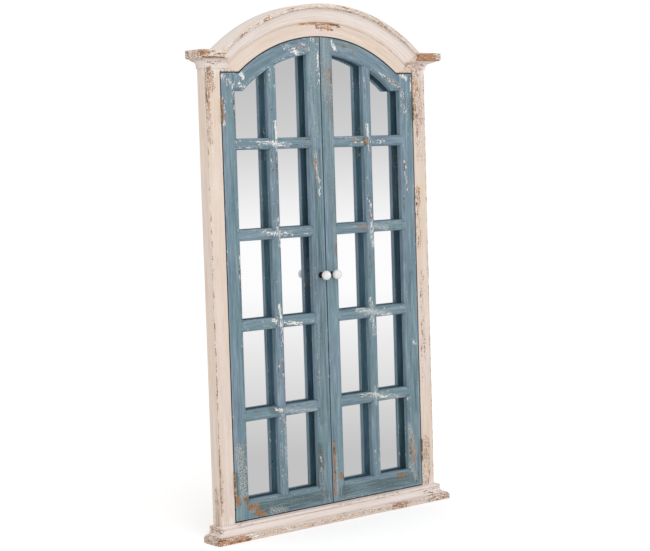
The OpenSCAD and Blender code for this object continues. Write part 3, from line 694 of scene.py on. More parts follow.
@dataclass(frozen=True)
class Mark:
    """A stretch of worn paint from one point of the front to another, in millimetres.

    Width is how far from its line the mark is at half its strength. Each kind of wear is a share,
    from 0 to 1, on that line: chip shows the undercoat in pale flakes, bare the wood in splinters,
    pit the wood in fine dots, dab the wood in one ragged patch, and frost the undercoat in fine
    specks; rub and soot leave chalky and dark streaks along the grain, which in some marks are a
    painted highlight and painted shade. Depth is how far behind the posts' front face the line
    lies, and shallow is how much faster the mark fades into the wood than along the face.
    """

    x0: float
    z0: float
    x1: float
    z1: float
    width: float
    chip: float = 0.0
    bare: float = 0.0
    pit: float = 0.0
    dab: float = 0.0
    frost: float = 0.0
    rub: float = 0.0
    soot_and_shade: float = 0.0
    depth: float = 0.0
    shallow: float = 1.6
    TINY: ClassVar[float] = 1e-12

    def strength(self, points: np.ndarray, face: float) -> np.ndarray:
        """How much of the mark each point has.

        Args:
            points: Points of a mesh, in metres.
            face: The y of the front face, in metres.

        Returns:
            A value from 0 to 1 for each point.
        """
        start = np.array([self.x0 * MM, face + self.depth * MM, self.z0 * MM])
        line = np.array([self.x1 * MM, face + self.depth * MM, self.z1 * MM]) - start
        along = np.clip((points - start) @ line / max(float(line @ line), self.TINY), 0, 1)
        away = (points - start - along[:, None] * line) * (1, self.shallow, 1)
        share = np.clip(1.5 - np.linalg.norm(away, axis=1) / (self.width * MM), 0, 1)
        return share * share * (3 - 2 * share)

    def mirrored(self) -> Mark:
        """The same mark on the other half of the mirror."""
        return replace(self, x0=-self.x0, x1=-self.x1)

    def at(self, *depths: float) -> tuple[Mark, ...]:
        """The same mark at each of several depths."""
        return tuple(replace(self, depth=depth) for depth in depths)


@dataclass(frozen=True)
class Arch:
    """The circle that the arched pieces follow. A mark along it spans a turn, in degrees."""

    outer_radius: float = 0.43855
    mark_turn: float = 7.0

    @property
    def centre_z(self) -> float:
        """Height of the circle's centre."""
        return BOXES["arch_board"][1].z - self.outer_radius

    def marks(
        self, radius: float, start: float, end: float, width: float, **wear: float
    ) -> tuple[Mark, ...]:
        """A row of marks round the arch.

        Args:
            radius: Distance from the circle's centre, in millimetres.
            start: Where the row starts, in degrees from the crown, to the right.
            end: Where it ends.
            width: The width of every mark, in millimetres.
            wear: The depth and the kinds of wear of every mark.

        Returns:
            The marks, end to end.
        """
        count = max(1, round(abs(end - start) / self.mark_turn))
        turns = [math.radians(start + (end - start) * i / count) for i in range(count + 1)]
        centre = self.centre_z / MM
        points = [(radius * math.sin(turn), centre + radius * math.cos(turn)) for turn in turns]
        return tuple(Mark(*a, *b, width, **wear) for a, b in zip(points, points[1:]))

    def unroll(self, bm: bmesh.types.BMesh, back: bool = False) -> None:
        """Lays the arch out straight, with x along it and z its radius, or rolls it up again.

        Args:
            bm: The mesh to change.
            back: True to roll it up again.
        """
        centre = self.centre_z
        for vert in bm.verts:
            x, z = vert.co.x, vert.co.z
            if back:
                angle = x / self.outer_radius
                vert.co.x = z * math.sin(angle)
                vert.co.z = centre + z * math.cos(angle)
            else:
                vert.co.x = math.atan2(x, z - centre) * self.outer_radius
                vert.co.z = math.hypot(x, z - centre)


ARCH = Arch()


@dataclass(frozen=True)
class Neighbour:
    """A solid that other pieces may touch or face."""

    body: str
    surface: BVHTree


@dataclass
class WornPiece:
    """A painted wooden piece: its solid, sliced fine, with chipped arrises and stored wear.

    Slices lie a pitch apart, and each rim's distance from either end. An edge that turns more than
    sharp is an arris or an inner corner; samples are points along the first and hollows along the
    second. A reach is how far the wear and painted highlight go from an arris, or the grime and
    painted shade from an inner corner, and a face that turns less than gap_turn to the front may
    stand beside a gap. Arrises are knocked in by a fine roughness and by rarer bites, each a share
    of chip_depth.
    """

    node: str
    body: str
    slot: str
    grain: Grain
    material: bpy.types.Material
    marks: Sequence[Mark] = ()
    pitch_along: float = 0.005
    pitch_across: float = 0.006
    rims: tuple[float, ...] = (0.0012, 0.0034)
    weld: float = 1e-6
    cut_weld: float = 3e-5
    flat: float = math.radians(0.4)
    sharp: float = math.radians(28)
    shaded_sharp: float = math.radians(34)
    sample_pitch: float = 0.002
    contact: float = 0.0005
    touch: float = 0.000475
    inner_reach: float = 0.003
    arris_reach: float = 0.0034
    corner_reach: float = 0.0026
    back_skin: float = 0.0002
    lift: float = 1e-5
    gap_reach: float = 0.0032
    gap_turn: float = 0.7
    chip_depth: float = 0.0009
    chip_above: float = 0.93
    least_worn: float = 0.25
    rough_scale: float = 210.0
    rough_share: float = 0.25
    bite_scale: float = 65.0
    bite_shift: tuple[float, float, float] = (7, 3, 1)
    bite_above: float = 0.05
    bite_share: float = 1.6
    boards: int = 97
    board_shift: float = 0.173
    samples: list[Vector] = field(default_factory=list)
    hollows: list[Vector] = field(default_factory=list)
    bm: bmesh.types.BMesh = field(default_factory=bmesh.new)

    def build(self, neighbours: dict[str, Neighbour]) -> None:
        """Makes the piece, puts it in the place of its solid and reports it.

        Args:
            neighbours: Every painted solid, by its node's name.
        """
        bm = self.bm
        bm.from_mesh(frame["nodes"][self.node].data)
        bmesh.ops.remove_doubles(bm, verts=bm.verts, dist=self.weld)
        bmesh.ops.dissolve_limit(bm, angle_limit=self.flat, verts=bm.verts, edges=bm.edges)
        self._find_edges(self._near(neighbours, MM))
        self._slice()
        points = np.array([v.co for v in bm.verts])
        stored = self._wear(points)
        across = self._near(neighbours, self.gap_reach, other_bodies=True)
        stored["gap"] = self._gaps(across)
        self._chip(stored)
        bmesh.ops.triangulate(bm, faces=[f for f in bm.faces if len(f.verts) > 4])
        mesh = bpy.data.meshes.new(self.node + "_worn")
        bm.to_mesh(mesh)
        bm.free()
        self._store(mesh, stored, points)
        mesh.shade_smooth()
        mesh.set_sharp_from_angle(angle=self.shaded_sharp)
        piece = bpy.data.objects.new(self.node + "_worn", mesh)
        bpy.context.scene.collection.objects.link(piece)
        mesh.materials.append(self.material)
        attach(piece, self.body)
        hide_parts(self.node)
        log.info("%s: %d faces", piece.name, len(mesh.polygons))

    def _near(
        self, neighbours: dict[str, Neighbour], reach: float, other_bodies: bool = False
    ) -> list[BVHTree]:
        """The surfaces of the solids whose boxes come close to this piece's.

        Args:
            neighbours: Every painted solid, by its node's name.
            reach: How close they come.
            other_bodies: True for the solids of other bodies alone.

        Returns:
            The surfaces.
        """
        lo, hi = BOXES[self.node]
        near = []
        for name, solid in neighbours.items():
            low, high = BOXES[name]
            close = all(low[i] < hi[i] + reach and high[i] > lo[i] - reach for i in range(3))
            if name != self.node and close and not (other_bodies and solid.body == self.body):
                near.append(solid.surface)
        return near

    def _find_edges(self, near: Sequence[BVHTree]) -> None:
        """Samples the piece's open arrises and its inner corners, also those it makes with others.

        Args:
            near: The surfaces of the solids beside it.
        """
        reach = self.contact
        for edge in self.bm.edges:
            if len(edge.link_faces) != 2:
                continue
            turn = edge.calc_face_angle_signed(0.0)
            if abs(turn) < self.sharp:
                continue
            between = edge.link_faces[0].normal + edge.link_faces[1].normal
            off = between.normalized() * reach
            start, end = (v.co for v in edge.verts)
            count = max(2, int((end - start).length / self.sample_pitch))
            for i in range(count + 1):
                point = start.lerp(end, i / count)
                if turn < 0:
                    self.hollows.append(point)
                elif not any(tree.find_nearest(point + off, self.touch)[0] for tree in near):
                    self.samples.append(point)
                elif any(self._inside(tree, point + between * reach) for tree in near):
                    self.hollows.append(point)

    def _inside(self, surface: BVHTree, point: Vector) -> bool:
        """Whether a point lies inside a solid, and near its surface."""
        place, normal, _, _ = surface.find_nearest(point, self.inner_reach)
        return place is not None and (point - place).dot(normal) < 0

    def _gaps(self, near: Sequence[BVHTree]) -> np.ndarray:
        """Finds the edges of the sliced piece that stand across a narrow gap from another body,
        where the paint is darkened with painted shade and dirt.

        Args:
            near: The surfaces of the other bodies.

        Returns:
            1 for each vertex beside a gap, and 0 for the rest.
        """
        self.bm.normal_update()
        self.bm.verts.index_update()
        found = np.zeros(len(self.bm.verts))
        for face in self.bm.faces:
            if not near or abs(face.normal.y) > self.gap_turn:
                continue
            start = face.calc_center_median() + face.normal * self.lift
            if any(tree.ray_cast(start, face.normal, self.gap_reach)[0] for tree in near):
                found[[vert.index for vert in face.verts]] = 1.0
        return found

    def _slice(self) -> None:
        """Slices the piece along its length and across its width, finest beside its arrises."""
        if self.grain is Grain.ARCHED:
            self._slice_fan()
            ARCH.unroll(self.bm)
            self._slice_axis(2, self.pitch_across)
            ARCH.unroll(self.bm, back=True)
            self._slice_axis(1, self.pitch_across)
            return
        long = {Grain.UPRIGHT: 2, Grain.ACROSS: 0, Grain.OUTWARD: 1}[self.grain]
        for axis in sorted(range(3), key=lambda a: a == long):
            self._slice_axis(axis, self.pitch_along if axis == long else self.pitch_across)

    def _slice_axis(self, axis: int, pitch: float) -> None:
        """Slices the piece square to an axis, at a pitch and just inside its two ends.

        Args:
            axis: 0, 1 or 2 for X, Y or Z.
            pitch: Distance between slices.
        """
        places = [v.co[axis] for v in self.bm.verts]
        low, high = min(places), max(places)
        cuts = list(np.arange(low + pitch, high - pitch / 2, pitch))
        cuts += [end for inset in self.rims for end in (low + inset, high - inset)]
        normal = Vector([float(i == axis) for i in range(3)])
        planes = [(normal * float(place), normal) for place in sorted(cuts)]
        self._cut(self.bm.faces[:], planes)

    def _slice_fan(self) -> None:
        """Slices an arched piece by planes through the arch's centre line."""
        centre = Vector((0, 0, ARCH.centre_z))
        turns = [math.atan2(v.co.x, v.co.z - centre.z) for v in self.bm.verts]
        pitch = self.pitch_along / ARCH.outer_radius
        angles = np.arange(min(turns) + pitch, max(turns) - pitch / 2, pitch)
        planes = [(centre, Vector((math.cos(a), 0, -math.sin(a)))) for a in angles]
        self._cut(self.bm.faces[:], planes)

    def _cut(
        self, faces: list[bmesh.types.BMFace], planes: Sequence[tuple[Vector, Vector]]
    ) -> None:
        """Slices faces by a row of planes, the middle one first and then each half on its own.

        Args:
            faces: The faces that the planes may cross.
            planes: A point and a normal for each plane, in order along the piece.
        """
        if not planes or not faces:
            return
        middle = len(planes) // 2
        point, normal = planes[middle]
        edges = {edge for face in faces for edge in face.edges}
        verts = {vert for face in faces for vert in face.verts}
        geometry = faces + list(edges) + list(verts)
        cut = bmesh.ops.bisect_plane(
            self.bm, geom=geometry, dist=self.cut_weld, plane_co=point, plane_no=normal
        )
        halves: tuple[list[bmesh.types.BMFace], ...] = ([], [])
        for part in cut["geom"]:
            if isinstance(part, bmesh.types.BMFace):
                halves[(part.calc_center_median() - point).dot(normal) > 0].append(part)
        self._cut(halves[0], planes[:middle])
        self._cut(halves[1], planes[middle + 1 :])

    def _wear(self, points: np.ndarray) -> dict[str, np.ndarray]:
        """Works out the wear of every vertex.

        Args:
            points: The vertices of the sliced mesh.

        Returns:
            The values that the paint reads, by name.
        """
        back = BOXES[self.node][1].y - self.back_skin
        stored = {
            "arris": self._closeness(points, self.samples, self.arris_reach),
            "corner": self._closeness(points, self.hollows, self.corner_reach),
            "inside": (points[:, 1] > back).astype(float),
        }
        face = BOXES["left_post"][0].y
        shares = [mark.strength(points, face) for mark in self.marks]
        for kind in ("chip", "bare", "pit", "dab", "frost", "rub", "soot_and_shade"):
            stored[kind] = np.zeros(len(points))
            for mark, share in zip(self.marks, shares):
                stored[kind] = np.maximum(stored[kind], share * getattr(mark, kind))
        return stored

    @staticmethod
    def _closeness(points: np.ndarray, samples: Sequence[Vector], reach: float) -> np.ndarray:
        """1 on a sampled edge, falling to 0 at reach from it.

        Args:
            points: Points of the mesh.
            samples: Points along the edges.
            reach: Distance at which the value is 0.

        Returns:
            The value at each point.
        """
        if not samples:
            return np.zeros(len(points))
        tree = KDTree(len(samples))
        for i, sample in enumerate(samples):
            tree.insert(sample, i)
        tree.balance()
        away = np.array([tree.find(Vector(p))[2] for p in points])
        return np.clip(1 - away / reach, 0, 1)

    def _chip(self, stored: dict[str, np.ndarray]) -> None:
        """Knocks the arrises in, most where the paint has gone.

        Args:
            stored: The wear of every vertex.
        """
        self.bm.normal_update()
        self.bm.verts.ensure_lookup_table()
        moves = {}
        for i in np.nonzero(stored["arris"] > self.chip_above)[0]:
            vert = self.bm.verts[int(i)]
            rough = 0.5 + 0.5 * noise.noise(vert.co * self.rough_scale)
            bite = noise.noise(vert.co * self.bite_scale + Vector(self.bite_shift))
            bite = max(0.0, bite - self.bite_above)
            worn = self.least_worn + max(stored["chip"][i], stored["bare"][i])
            share = self.rough_share * rough + self.bite_share * bite
            moves[vert] = -vert.normal * self.chip_depth * worn * share
        for vert, move in moves.items():
            vert.co += move

    def _store(
        self, mesh: bpy.types.Mesh, stored: dict[str, np.ndarray], points: np.ndarray
    ) -> None:
        """Writes the wear and the grain's directions on the mesh.

        Args:
            mesh: The piece's mesh.
            stored: The wear of every vertex.
            points: The vertices before they were chipped.
        """
        for name, values in stored.items():
            layer = mesh.attributes.new(name, "FLOAT", "POINT")
            layer.data.foreach_set("value", values.astype(np.float32))
        x, y, z = points.T
        # Every piece is cut from another board, so that no two show the same grain
        shift = (sum(map(ord, self.node)) % self.boards) * self.board_shift
        rise = z - ARCH.centre_z
        along = {
            Grain.UPRIGHT: (z, x, y),
            Grain.ACROSS: (x, z, y),
            Grain.OUTWARD: (y, x, z),
            Grain.ARCHED: (np.arctan2(x, rise) * ARCH.outer_radius, np.hypot(x, rise), y),
        }[self.grain]
        vectors = np.stack(along, axis=1) + shift
        layer = mesh.attributes.new("grain", "FLOAT_VECTOR", "POINT")
        layer.data.foreach_set("vector", vectors.astype(np.float32).ravel())


def painted_solids() -> dict[str, Neighbour]:
    """Prepares every painted solid for searches.

    Returns:
        Each solid by its node's name.
    """
    record = frame["record"]
    bodies = {node: body for body, nodes in record["behaviour"]["bodies"].items() for node in nodes}
    solids = {}
    for entry in record["subparts"]:
        if entry["material_slot"] in ("cream_paint", "blue_paint"):
            name = entry["node"]
            mesh = frame["nodes"][name].data
            points = [vert.co for vert in mesh.vertices]
            surface = BVHTree.FromPolygons(points, [face.vertices for face in mesh.polygons])
            solids[name] = Neighbour(bodies[name], surface)
    return solids


# ---------------------------------------------------------------- marks of wear, painted highlights and painted shade

# How far behind the posts' front face these lie, in millimetres
SLAB_FRONT = -30.0
SLAB_UNDER = -29.0
PLINTH_FRONT = -26.0
ARCH_FRONT = -25.6
DOOR_BACK = 14.0

FRAME_MARKS = (
    # The posts: a band of brown streaks under each capital, and broken lines down the arrises
    Mark(-318, 975, -313, 1050, 7, chip=0.36, bare=0.52, pit=0.5),
    Mark(-304, 1010, -308, 1048, 8, chip=0.36, bare=0.22, pit=0.46),
    Mark(-314, 890, -316, 985, 6, chip=0.1, bare=0.22, pit=0.36),
    Mark(-320, 560, -320, 900, 1.5, bare=0.3),
    Mark(-320, 205, -320, 560, 1.5, bare=0.6),
    Mark(-319, 60, -319, 205, 2, bare=0.66, soot_and_shade=0.6),
    Mark(-315, 70, -313, 150, 3, pit=0.4),
    Mark(-320, 45, -320, 110, 14, bare=0.2, soot_and_shade=0.4, depth=14),
    Mark(300, 930, 296, 1050, 13, chip=0.3, bare=0.16, pit=0.34),
    Mark(288, 960, 286, 1050, 6, bare=0.42, pit=0.3),
    Mark(292, 900, 292, 945, 5, bare=0.5),
    Mark(300, 840, 300, 930, 10, chip=0.2, pit=0.24),
    Mark(290, 630, 288, 700, 7, bare=0.26),
    Mark(290, 700, 290, 765, 6, bare=0.42),
    Mark(296, 50, 298, 150, 11, chip=0.4, bare=0.26, pit=0.3),
    Mark(292, 300, 300, 560, 7, bare=0.2),
    Mark(320, 60, 320, 1040, 1.5, bare=0.42),
    Mark(320, 60, 320, 170, 10, chip=0.34, bare=0.14, pit=0.24, depth=10),
    Mark(320, 870, 320, 1040, 9, chip=0.3, bare=0.3, pit=0.2, depth=7),
    Mark(320, 415, 320, 470, 7, chip=0.42, bare=0.2, depth=25),
    # The capitals, with a dark line of bare wood and painted shadow under each slab
    *Mark(-350, 1082, -350, 1082, 14, chip=0.5, bare=0.6).at(-20, 0, 22),
    *Mark(350, 1082, 350, 1082, 14, chip=0.5, bare=0.44).at(-20, 0, 22),
    Mark(-345, 1082, -334, 1082, 10, bare=0.97, depth=SLAB_FRONT),
    Mark(-328, 1084, -295, 1083, 9, chip=0.5, bare=0.42, depth=SLAB_FRONT),
    Mark(-340, 1073, -290, 1073, 3, bare=0.95, pit=0.7, soot_and_shade=1, depth=SLAB_UNDER),
    Mark(-336, 1064, -292, 1062, 9, chip=0.35, bare=0.26, depth=-9),
    Mark(-262, 1086, -240, 1080, 12, chip=0.7, bare=0.1, depth=-28),
    Mark(276, 1081, 326, 1081, 11, bare=0.94, dab=0.64, depth=SLAB_FRONT),
    Mark(328, 1083, 348, 1083, 10, chip=0.55, bare=0.5, depth=SLAB_FRONT),
    Mark(272, 1073, 346, 1073, 3, bare=0.95, pit=0.9, soot_and_shade=1, depth=SLAB_UNDER),
    Mark(262, 1060, 306, 1058, 11, chip=0.24, bare=0.3, pit=0.42, depth=-9),
    Mark(306, 1066, 336, 1066, 8, chip=0.3, bare=0.2, depth=-9),
    # The arch: a chalky top and fascia, the top also pinker as painted light, pale worn stretches
    # of it with brown specks, and bare patches at the crown
    *ARCH.marks(438, -45, 45, 36, rub=1.0, depth=2),
    *ARCH.marks(412, -42, 42, 22, rub=0.4, depth=-18),
    *ARCH.marks(429, -40, 38, 7, chip=0.36, pit=0.16, depth=-25),
    *ARCH.marks(436, -34, -10, 1.5, bare=0.2, depth=-25),
    *ARCH.marks(436, 4, 34, 1.5, bare=0.26, depth=-25),
    Mark(-262, 1098, -246, 1108, 10, chip=0.9, bare=0.14, depth=-22),
    Mark(-246, 1108, -226, 1121, 8, chip=0.6, bare=0.42, depth=ARCH_FRONT),
    Mark(-226, 1112, -186, 1142, 12, chip=0.97, depth=-20),
    Mark(-186, 1146, -160, 1160, 9, chip=0.8, bare=0.24, depth=ARCH_FRONT),
    Mark(-172, 1158, -160, 1162, 5, bare=0.8, depth=ARCH_FRONT),
    Mark(-156, 1160, -92, 1176, 8, chip=0.6, bare=0.28, depth=-22),
    Mark(-100, 1176, -92, 1180, 4, bare=0.4, depth=ARCH_FRONT),
    Mark(-80, 1176, 60, 1180, 8, chip=0.42, bare=0.1, depth=-22),
    Mark(-45, 1186, -26, 1187, 4, bare=0.5, depth=ARCH_FRONT),
    Mark(60, 1184, 160, 1158, 7, chip=0.5, bare=0.16, depth=-22),
    Mark(165, 1156, 192, 1144, 7, chip=0.4, bare=0.36, depth=ARCH_FRONT),
    Mark(196, 1134, 262, 1088, 8, chip=0.5, bare=0.1, pit=0.26, depth=-20),
    Mark(14, 1159, 60, 1155, 3.4, bare=0.97),
    Mark(-7, 1149, 40, 1145.5, 3.2, bare=0.9),
    Mark(-62, 1155, 14, 1157, 2.2, bare=0.66),
    # The base: a cove lightened and pinker as a painted highlight, bare wood at the left corner,
    # and specks and chips along the plinth
    Mark(-330, 34, 330, 34, 26, rub=0.84, depth=-14),
    Mark(-344, 8, -268, 5, 8, chip=0.3, bare=0.95, depth=PLINTH_FRONT),
    Mark(-262, 9, -225, 8, 5, chip=0.5, bare=0.3, depth=PLINTH_FRONT),
    Mark(-225, 9, 150, 9, 5, chip=0.3, bare=0.1, pit=0.3, depth=PLINTH_FRONT),
    Mark(165, 8, 205, 8, 7, chip=0.2, bare=0.74, depth=PLINTH_FRONT),
    Mark(205, 11, 290, 11, 5, chip=0.3, bare=0.1, pit=0.3, depth=PLINTH_FRONT),
    Mark(280, 9, 345, 9, 8, chip=0.4, bare=0.36, pit=0.3, depth=PLINTH_FRONT),
    Mark(-300, 26, 300, 26, 10, chip=0.16, depth=-20),
    Mark(265, 28, 330, 24, 9, chip=0.3, bare=0.24, depth=-16),
    *Mark(-346, 9, -346, 9, 14, chip=0.4, bare=0.34, soot_and_shade=0.6).at(-16, 2, 22),
    *Mark(346, 9, 346, 9, 14, chip=0.4, bare=0.3, pit=0.2).at(-16, 2, 22),
    *Mark(-332, 29, -332, 29, 10, chip=0.4, bare=0.3, soot_and_shade=0.5).at(-8, 6, 22),
)
DOOR_BACK_MARKS = tuple(
    replace(mark, depth=DOOR_BACK)
    for mark in (
        Mark(-276, 46, -196, 46, 6, chip=0.42, bare=0.34),
        Mark(-12, 44, -70, 44, 6, chip=0.5, bare=0.3),
        Mark(-9, 60, -7, 300, 5, chip=0.3, frost=0.3),
        Mark(-4, 300, -4, 760, 3, chip=0.44, bare=0.34),
        Mark(-24, 560, -18, 610, 9, frost=0.3, rub=0.6),
        Mark(-277, 380, -277, 900, 3, chip=0.4, bare=0.3),
        Mark(-262, 700, -256, 860, 9, frost=0.2, rub=0.4),
        Mark(-150, 886, -110, 884, 6, chip=0.42, frost=0.2),
        Mark(-140, 920, -136, 850, 5, chip=0.4),
        Mark(-160, 478, -120, 476, 6, chip=0.36, frost=0.3),
        Mark(-60, 1104, -130, 1084, 7, chip=0.4, frost=0.2),
        Mark(-270, 1036, -240, 1030, 7, chip=0.44, bare=0.2),
    )
)
LEFT_DOOR_MARKS = (
    *DOOR_BACK_MARKS,
    Mark(-275, 984, -275, 940, 3, chip=0.6, bare=0.5),
    Mark(-275, 936, -274, 922, 3, chip=0.5),
    Mark(-276, 1034, -250, 1016, 9, chip=0.36, frost=0.12),
    Mark(-224, 1042, -220, 1030, 5, chip=0.86),
    Mark(-232, 1018, -218, 1010, 6, chip=0.58),
    Mark(-252, 1009, -246, 996, 5, chip=0.5),
    Mark(-251, 1000, -241, 943, 3.5, chip=0.45, bare=0.4),
    Mark(-98, 1100, -60, 1092, 10, chip=0.3, frost=0.14),
    Mark(-74, 1094, -66, 1088, 5, chip=0.8),
    Mark(-56, 1108, -34, 1098, 7, chip=0.32, bare=0.26, frost=0.2),
    Mark(-22, 1123, -8, 1108, 5, chip=0.5, bare=0.2),
    Mark(-8, 1094, -5, 1052, 3.4, chip=0.6),
    Mark(-5, 1048, -5, 1010, 3, chip=0.4),
    Mark(-24, 862, -16, 800, 6, chip=0.28, bare=0.3, frost=0.2),
    Mark(-16, 800, -13, 764, 3.6, chip=0.62, bare=0.2),
    Mark(-134, 933, -131, 897, 4.4, chip=0.98),
    Mark(-133, 895, -130, 850, 4.5, chip=0.46),
    Mark(-184, 889, -150, 886, 4.5, chip=0.5),
    Mark(-146, 886, -122, 884, 6, chip=0.66),
    Mark(-118, 883, -95, 880, 5, chip=0.34, frost=0.3),
    Mark(-176, 686, -146, 683, 4.6, chip=0.62),
    Mark(-140, 683, -128, 680, 5, chip=0.55),
    Mark(-118, 680, -97, 676, 4, chip=0.6),
    Mark(-136, 714, -132, 650, 4.6, chip=0.5),
    Mark(-159, 485, -134, 478, 6, chip=0.6),
    Mark(-124, 477, -79, 470, 5, chip=0.66),
    Mark(-138, 518, -136, 488, 3.4, chip=0.85),
    Mark(-136, 484, -132, 424, 4.5, chip=0.5),
    Mark(-158, 280, -140, 276, 4.5, chip=0.62),
    Mark(-130, 275, -43, 264, 6, chip=0.18, frost=0.36),
    Mark(-138, 269, -131, 235, 5, chip=0.22, frost=0.24, bare=0.2),
    Mark(-132, 230, -130, 150, 5, frost=0.3, chip=0.1),
    Mark(-245, 641, -244, 586, 2.6, chip=0.66, bare=0.4),
    Mark(-264, 205, -254, 100, 12, frost=0.42, soot_and_shade=0.6),
    Mark(-276, 96, -271, 80, 5.5, bare=0.4, dab=0.9),
    Mark(-251, 89, -247, 84, 6.5, bare=0.4, dab=1.0),
    Mark(-242, 68, -220, 66, 7, bare=0.4, dab=1.0),
    Mark(-222, 51, -202, 48, 6, bare=0.4, dab=1.0),
    Mark(-272, 150, -271, 96, 2.6, bare=0.66, soot_and_shade=1.0),
    Mark(-180, 52, -140, 45, 7, frost=0.42, soot_and_shade=0.8),
    Mark(-34, 180, -30, 128, 7, bare=0.22, rub=0.5, soot_and_shade=0.7),
    Mark(-40, 118, -20, 46, 12, frost=0.14, rub=0.35, soot_and_shade=0.4),
    # Darker streaks along the bottom rail
    Mark(-208, 62, -20, 62, 14, soot_and_shade=0.75, frost=0.06),
    Mark(-30, 340, -26, 480, 10, frost=0.08, rub=0.2),
    Mark(-22, 240, -20, 860, 14, soot_and_shade=0.34),
    Mark(-20, 900, -16, 1080, 12, rub=0.2, frost=0.12),
    Mark(-170, 283, -145, 278, 10, soot_and_shade=0.4),
)
RIGHT_DOOR_MARKS = (
    *(mark.mirrored() for mark in DOOR_BACK_MARKS),
    Mark(14, 1112, 20, 985, 15, frost=0.14, rub=0.42),
    Mark(20, 985, 24, 700, 13, rub=0.26, frost=0.06, soot_and_shade=0.2),
    Mark(24, 700, 24, 560, 12, rub=0.25),
    Mark(27, 1050, 31, 1010, 4.5, bare=0.56, chip=0.2, rub=0.9),
    Mark(20, 985, 21, 940, 6, bare=0.12, rub=0.6),
    Mark(40, 1108, 46, 1096, 4.5, chip=0.85),
    Mark(34, 1124, 38, 1110, 3.4, chip=0.6, bare=0.3),
    Mark(60, 1112, 100, 1100, 10, bare=0.14, rub=0.4),
    Mark(181, 1042, 241, 1011, 4.5, chip=0.48, bare=0.4),
    Mark(248, 1038, 265, 1032, 5.5, chip=0.66),
    Mark(250, 1003, 256, 952, 4, chip=0.42, bare=0.1),
    Mark(277, 1031, 279, 1002, 3.4, chip=0.5),
    Mark(136, 925, 138, 895, 3.8, chip=0.9),
    Mark(138, 890, 141, 858, 4.5, chip=0.4, bare=0.3),
    Mark(92, 888, 120, 884, 4.5, chip=0.5, bare=0.3),
    Mark(144, 886, 188, 881, 4.5, chip=0.46),
    Mark(124, 886, 134, 881, 6, bare=0.9),
    Mark(139, 746, 142, 690, 4.5, chip=0.46, bare=0.2),
    Mark(142, 690, 146, 635, 5, chip=0.55, frost=0.3),
    Mark(146, 684, 190, 676, 6, frost=0.42),
    Mark(102, 684, 125, 681, 6, bare=0.22, rub=0.7),
    Mark(93, 490, 195, 467, 7, chip=0.34, frost=0.45),
    Mark(132, 511, 142, 425, 5.5, chip=0.34, frost=0.3),
    Mark(94, 287, 130, 280, 6, chip=0.4, bare=0.2, frost=0.2),
    Mark(134, 282, 160, 277, 5, chip=0.62),
    Mark(160, 276, 239, 257, 6, chip=0.34, frost=0.42),
    Mark(138, 300, 141, 256, 4, chip=0.42, frost=0.3),
    Mark(250, 835, 258, 764, 3.6, chip=0.5, bare=0.16),
    Mark(262, 400, 268, 392, 4, chip=0.6),
    Mark(33, 645, 35, 595, 2.6, bare=0.6),
    Mark(6, 186, 7, 56, 3, bare=0.8, soot_and_shade=0.3),
    Mark(13, 150, 14, 60, 5, frost=0.25, rub=0.6),
    Mark(27, 102, 33, 96, 5.5, bare=0.4, dab=0.94),
    Mark(246, 190, 252, 150, 8, frost=0.32, rub=0.3),
    Mark(250, 160, 255, 104, 9, bare=0.42, frost=0.2, rub=1.0),
    Mark(246, 96, 262, 60, 8, frost=0.3, rub=0.4),
    Mark(204, 76, 226, 70, 5, bare=0.3, dab=0.8, rub=1.0),
    # Darker streaks along the bottom rail
    Mark(30, 62, 262, 62, 14, soot_and_shade=0.62, frost=0.06),
    Mark(266, 900, 270, 1000, 7, frost=0.14),
    Mark(264, 230, 262, 560, 12, soot_and_shade=0.3),
)


# ---------------------------------------------------------------- sub-assemblies


@dataclass
class Woodwork:
    """Painted pieces of wood on one body, with the marks of wear across them."""

    body: str
    slot: str
    marks: tuple[Mark, ...]
    grains: dict[str, Grain]

    def build(self, material: bpy.types.Material, neighbours: dict[str, Neighbour]) -> None:
        """Builds and dresses every piece.

        Args:
            material: The paint.
            neighbours: Every painted solid, by its node's name.
        """
        for node, grain in self.grains.items():
            WornPiece(node, self.body, self.slot, grain, material, self.marks).build(neighbours)


class MirrorFrame(Woodwork):
    """The painted frame: posts, sill, arch, capitals, base and the stops inside."""

    NODES = {
        Grain.UPRIGHT: ("left_post", "right_post", "left_stop", "right_stop"),
        Grain.ACROSS: (
            "sill_rail",
            "plinth",
            "base_cove_front",
            "left_capital_slab",
            "right_capital_slab",
            "left_capital_cove",
            "right_capital_cove",
            "sill_stop",
        ),
        Grain.OUTWARD: ("base_cove_left", "base_cove_right"),
        Grain.ARCHED: ("arch_board", "arch_moulding", "arch_stop"),
    }

    def __init__(self) -> None:
        """Lists the frame's pieces by the way that their grain runs."""
        grains = {node: grain for grain, nodes in self.NODES.items() for node in nodes}
        super().__init__("frame", "cream_paint", FRAME_MARKS, grains)


class ShutterDoor(Woodwork):
    """The wood of one shutter door: two stiles, two rails and the bars between the panes."""

    GRAINS = {
        "hinge_stile": Grain.UPRIGHT,
        "meeting_stile": Grain.UPRIGHT,
        "muntin": Grain.UPRIGHT,
        "bottom_rail": Grain.ACROSS,
        "arched_rail": Grain.ARCHED,
        **{f"bar_{number}": Grain.ACROSS for number in range(1, 5)},
    }

    def __init__(self, side: str, marks: tuple[Mark, ...]) -> None:
        """Lists the door's pieces.

        Args:
            side: left or right.
            marks: The wear of its paint.
        """
        grains = {f"{side}_{part}": grain for part, grain in self.GRAINS.items()}
        super().__init__(f"{side}_door", "blue_paint", marks, grains)


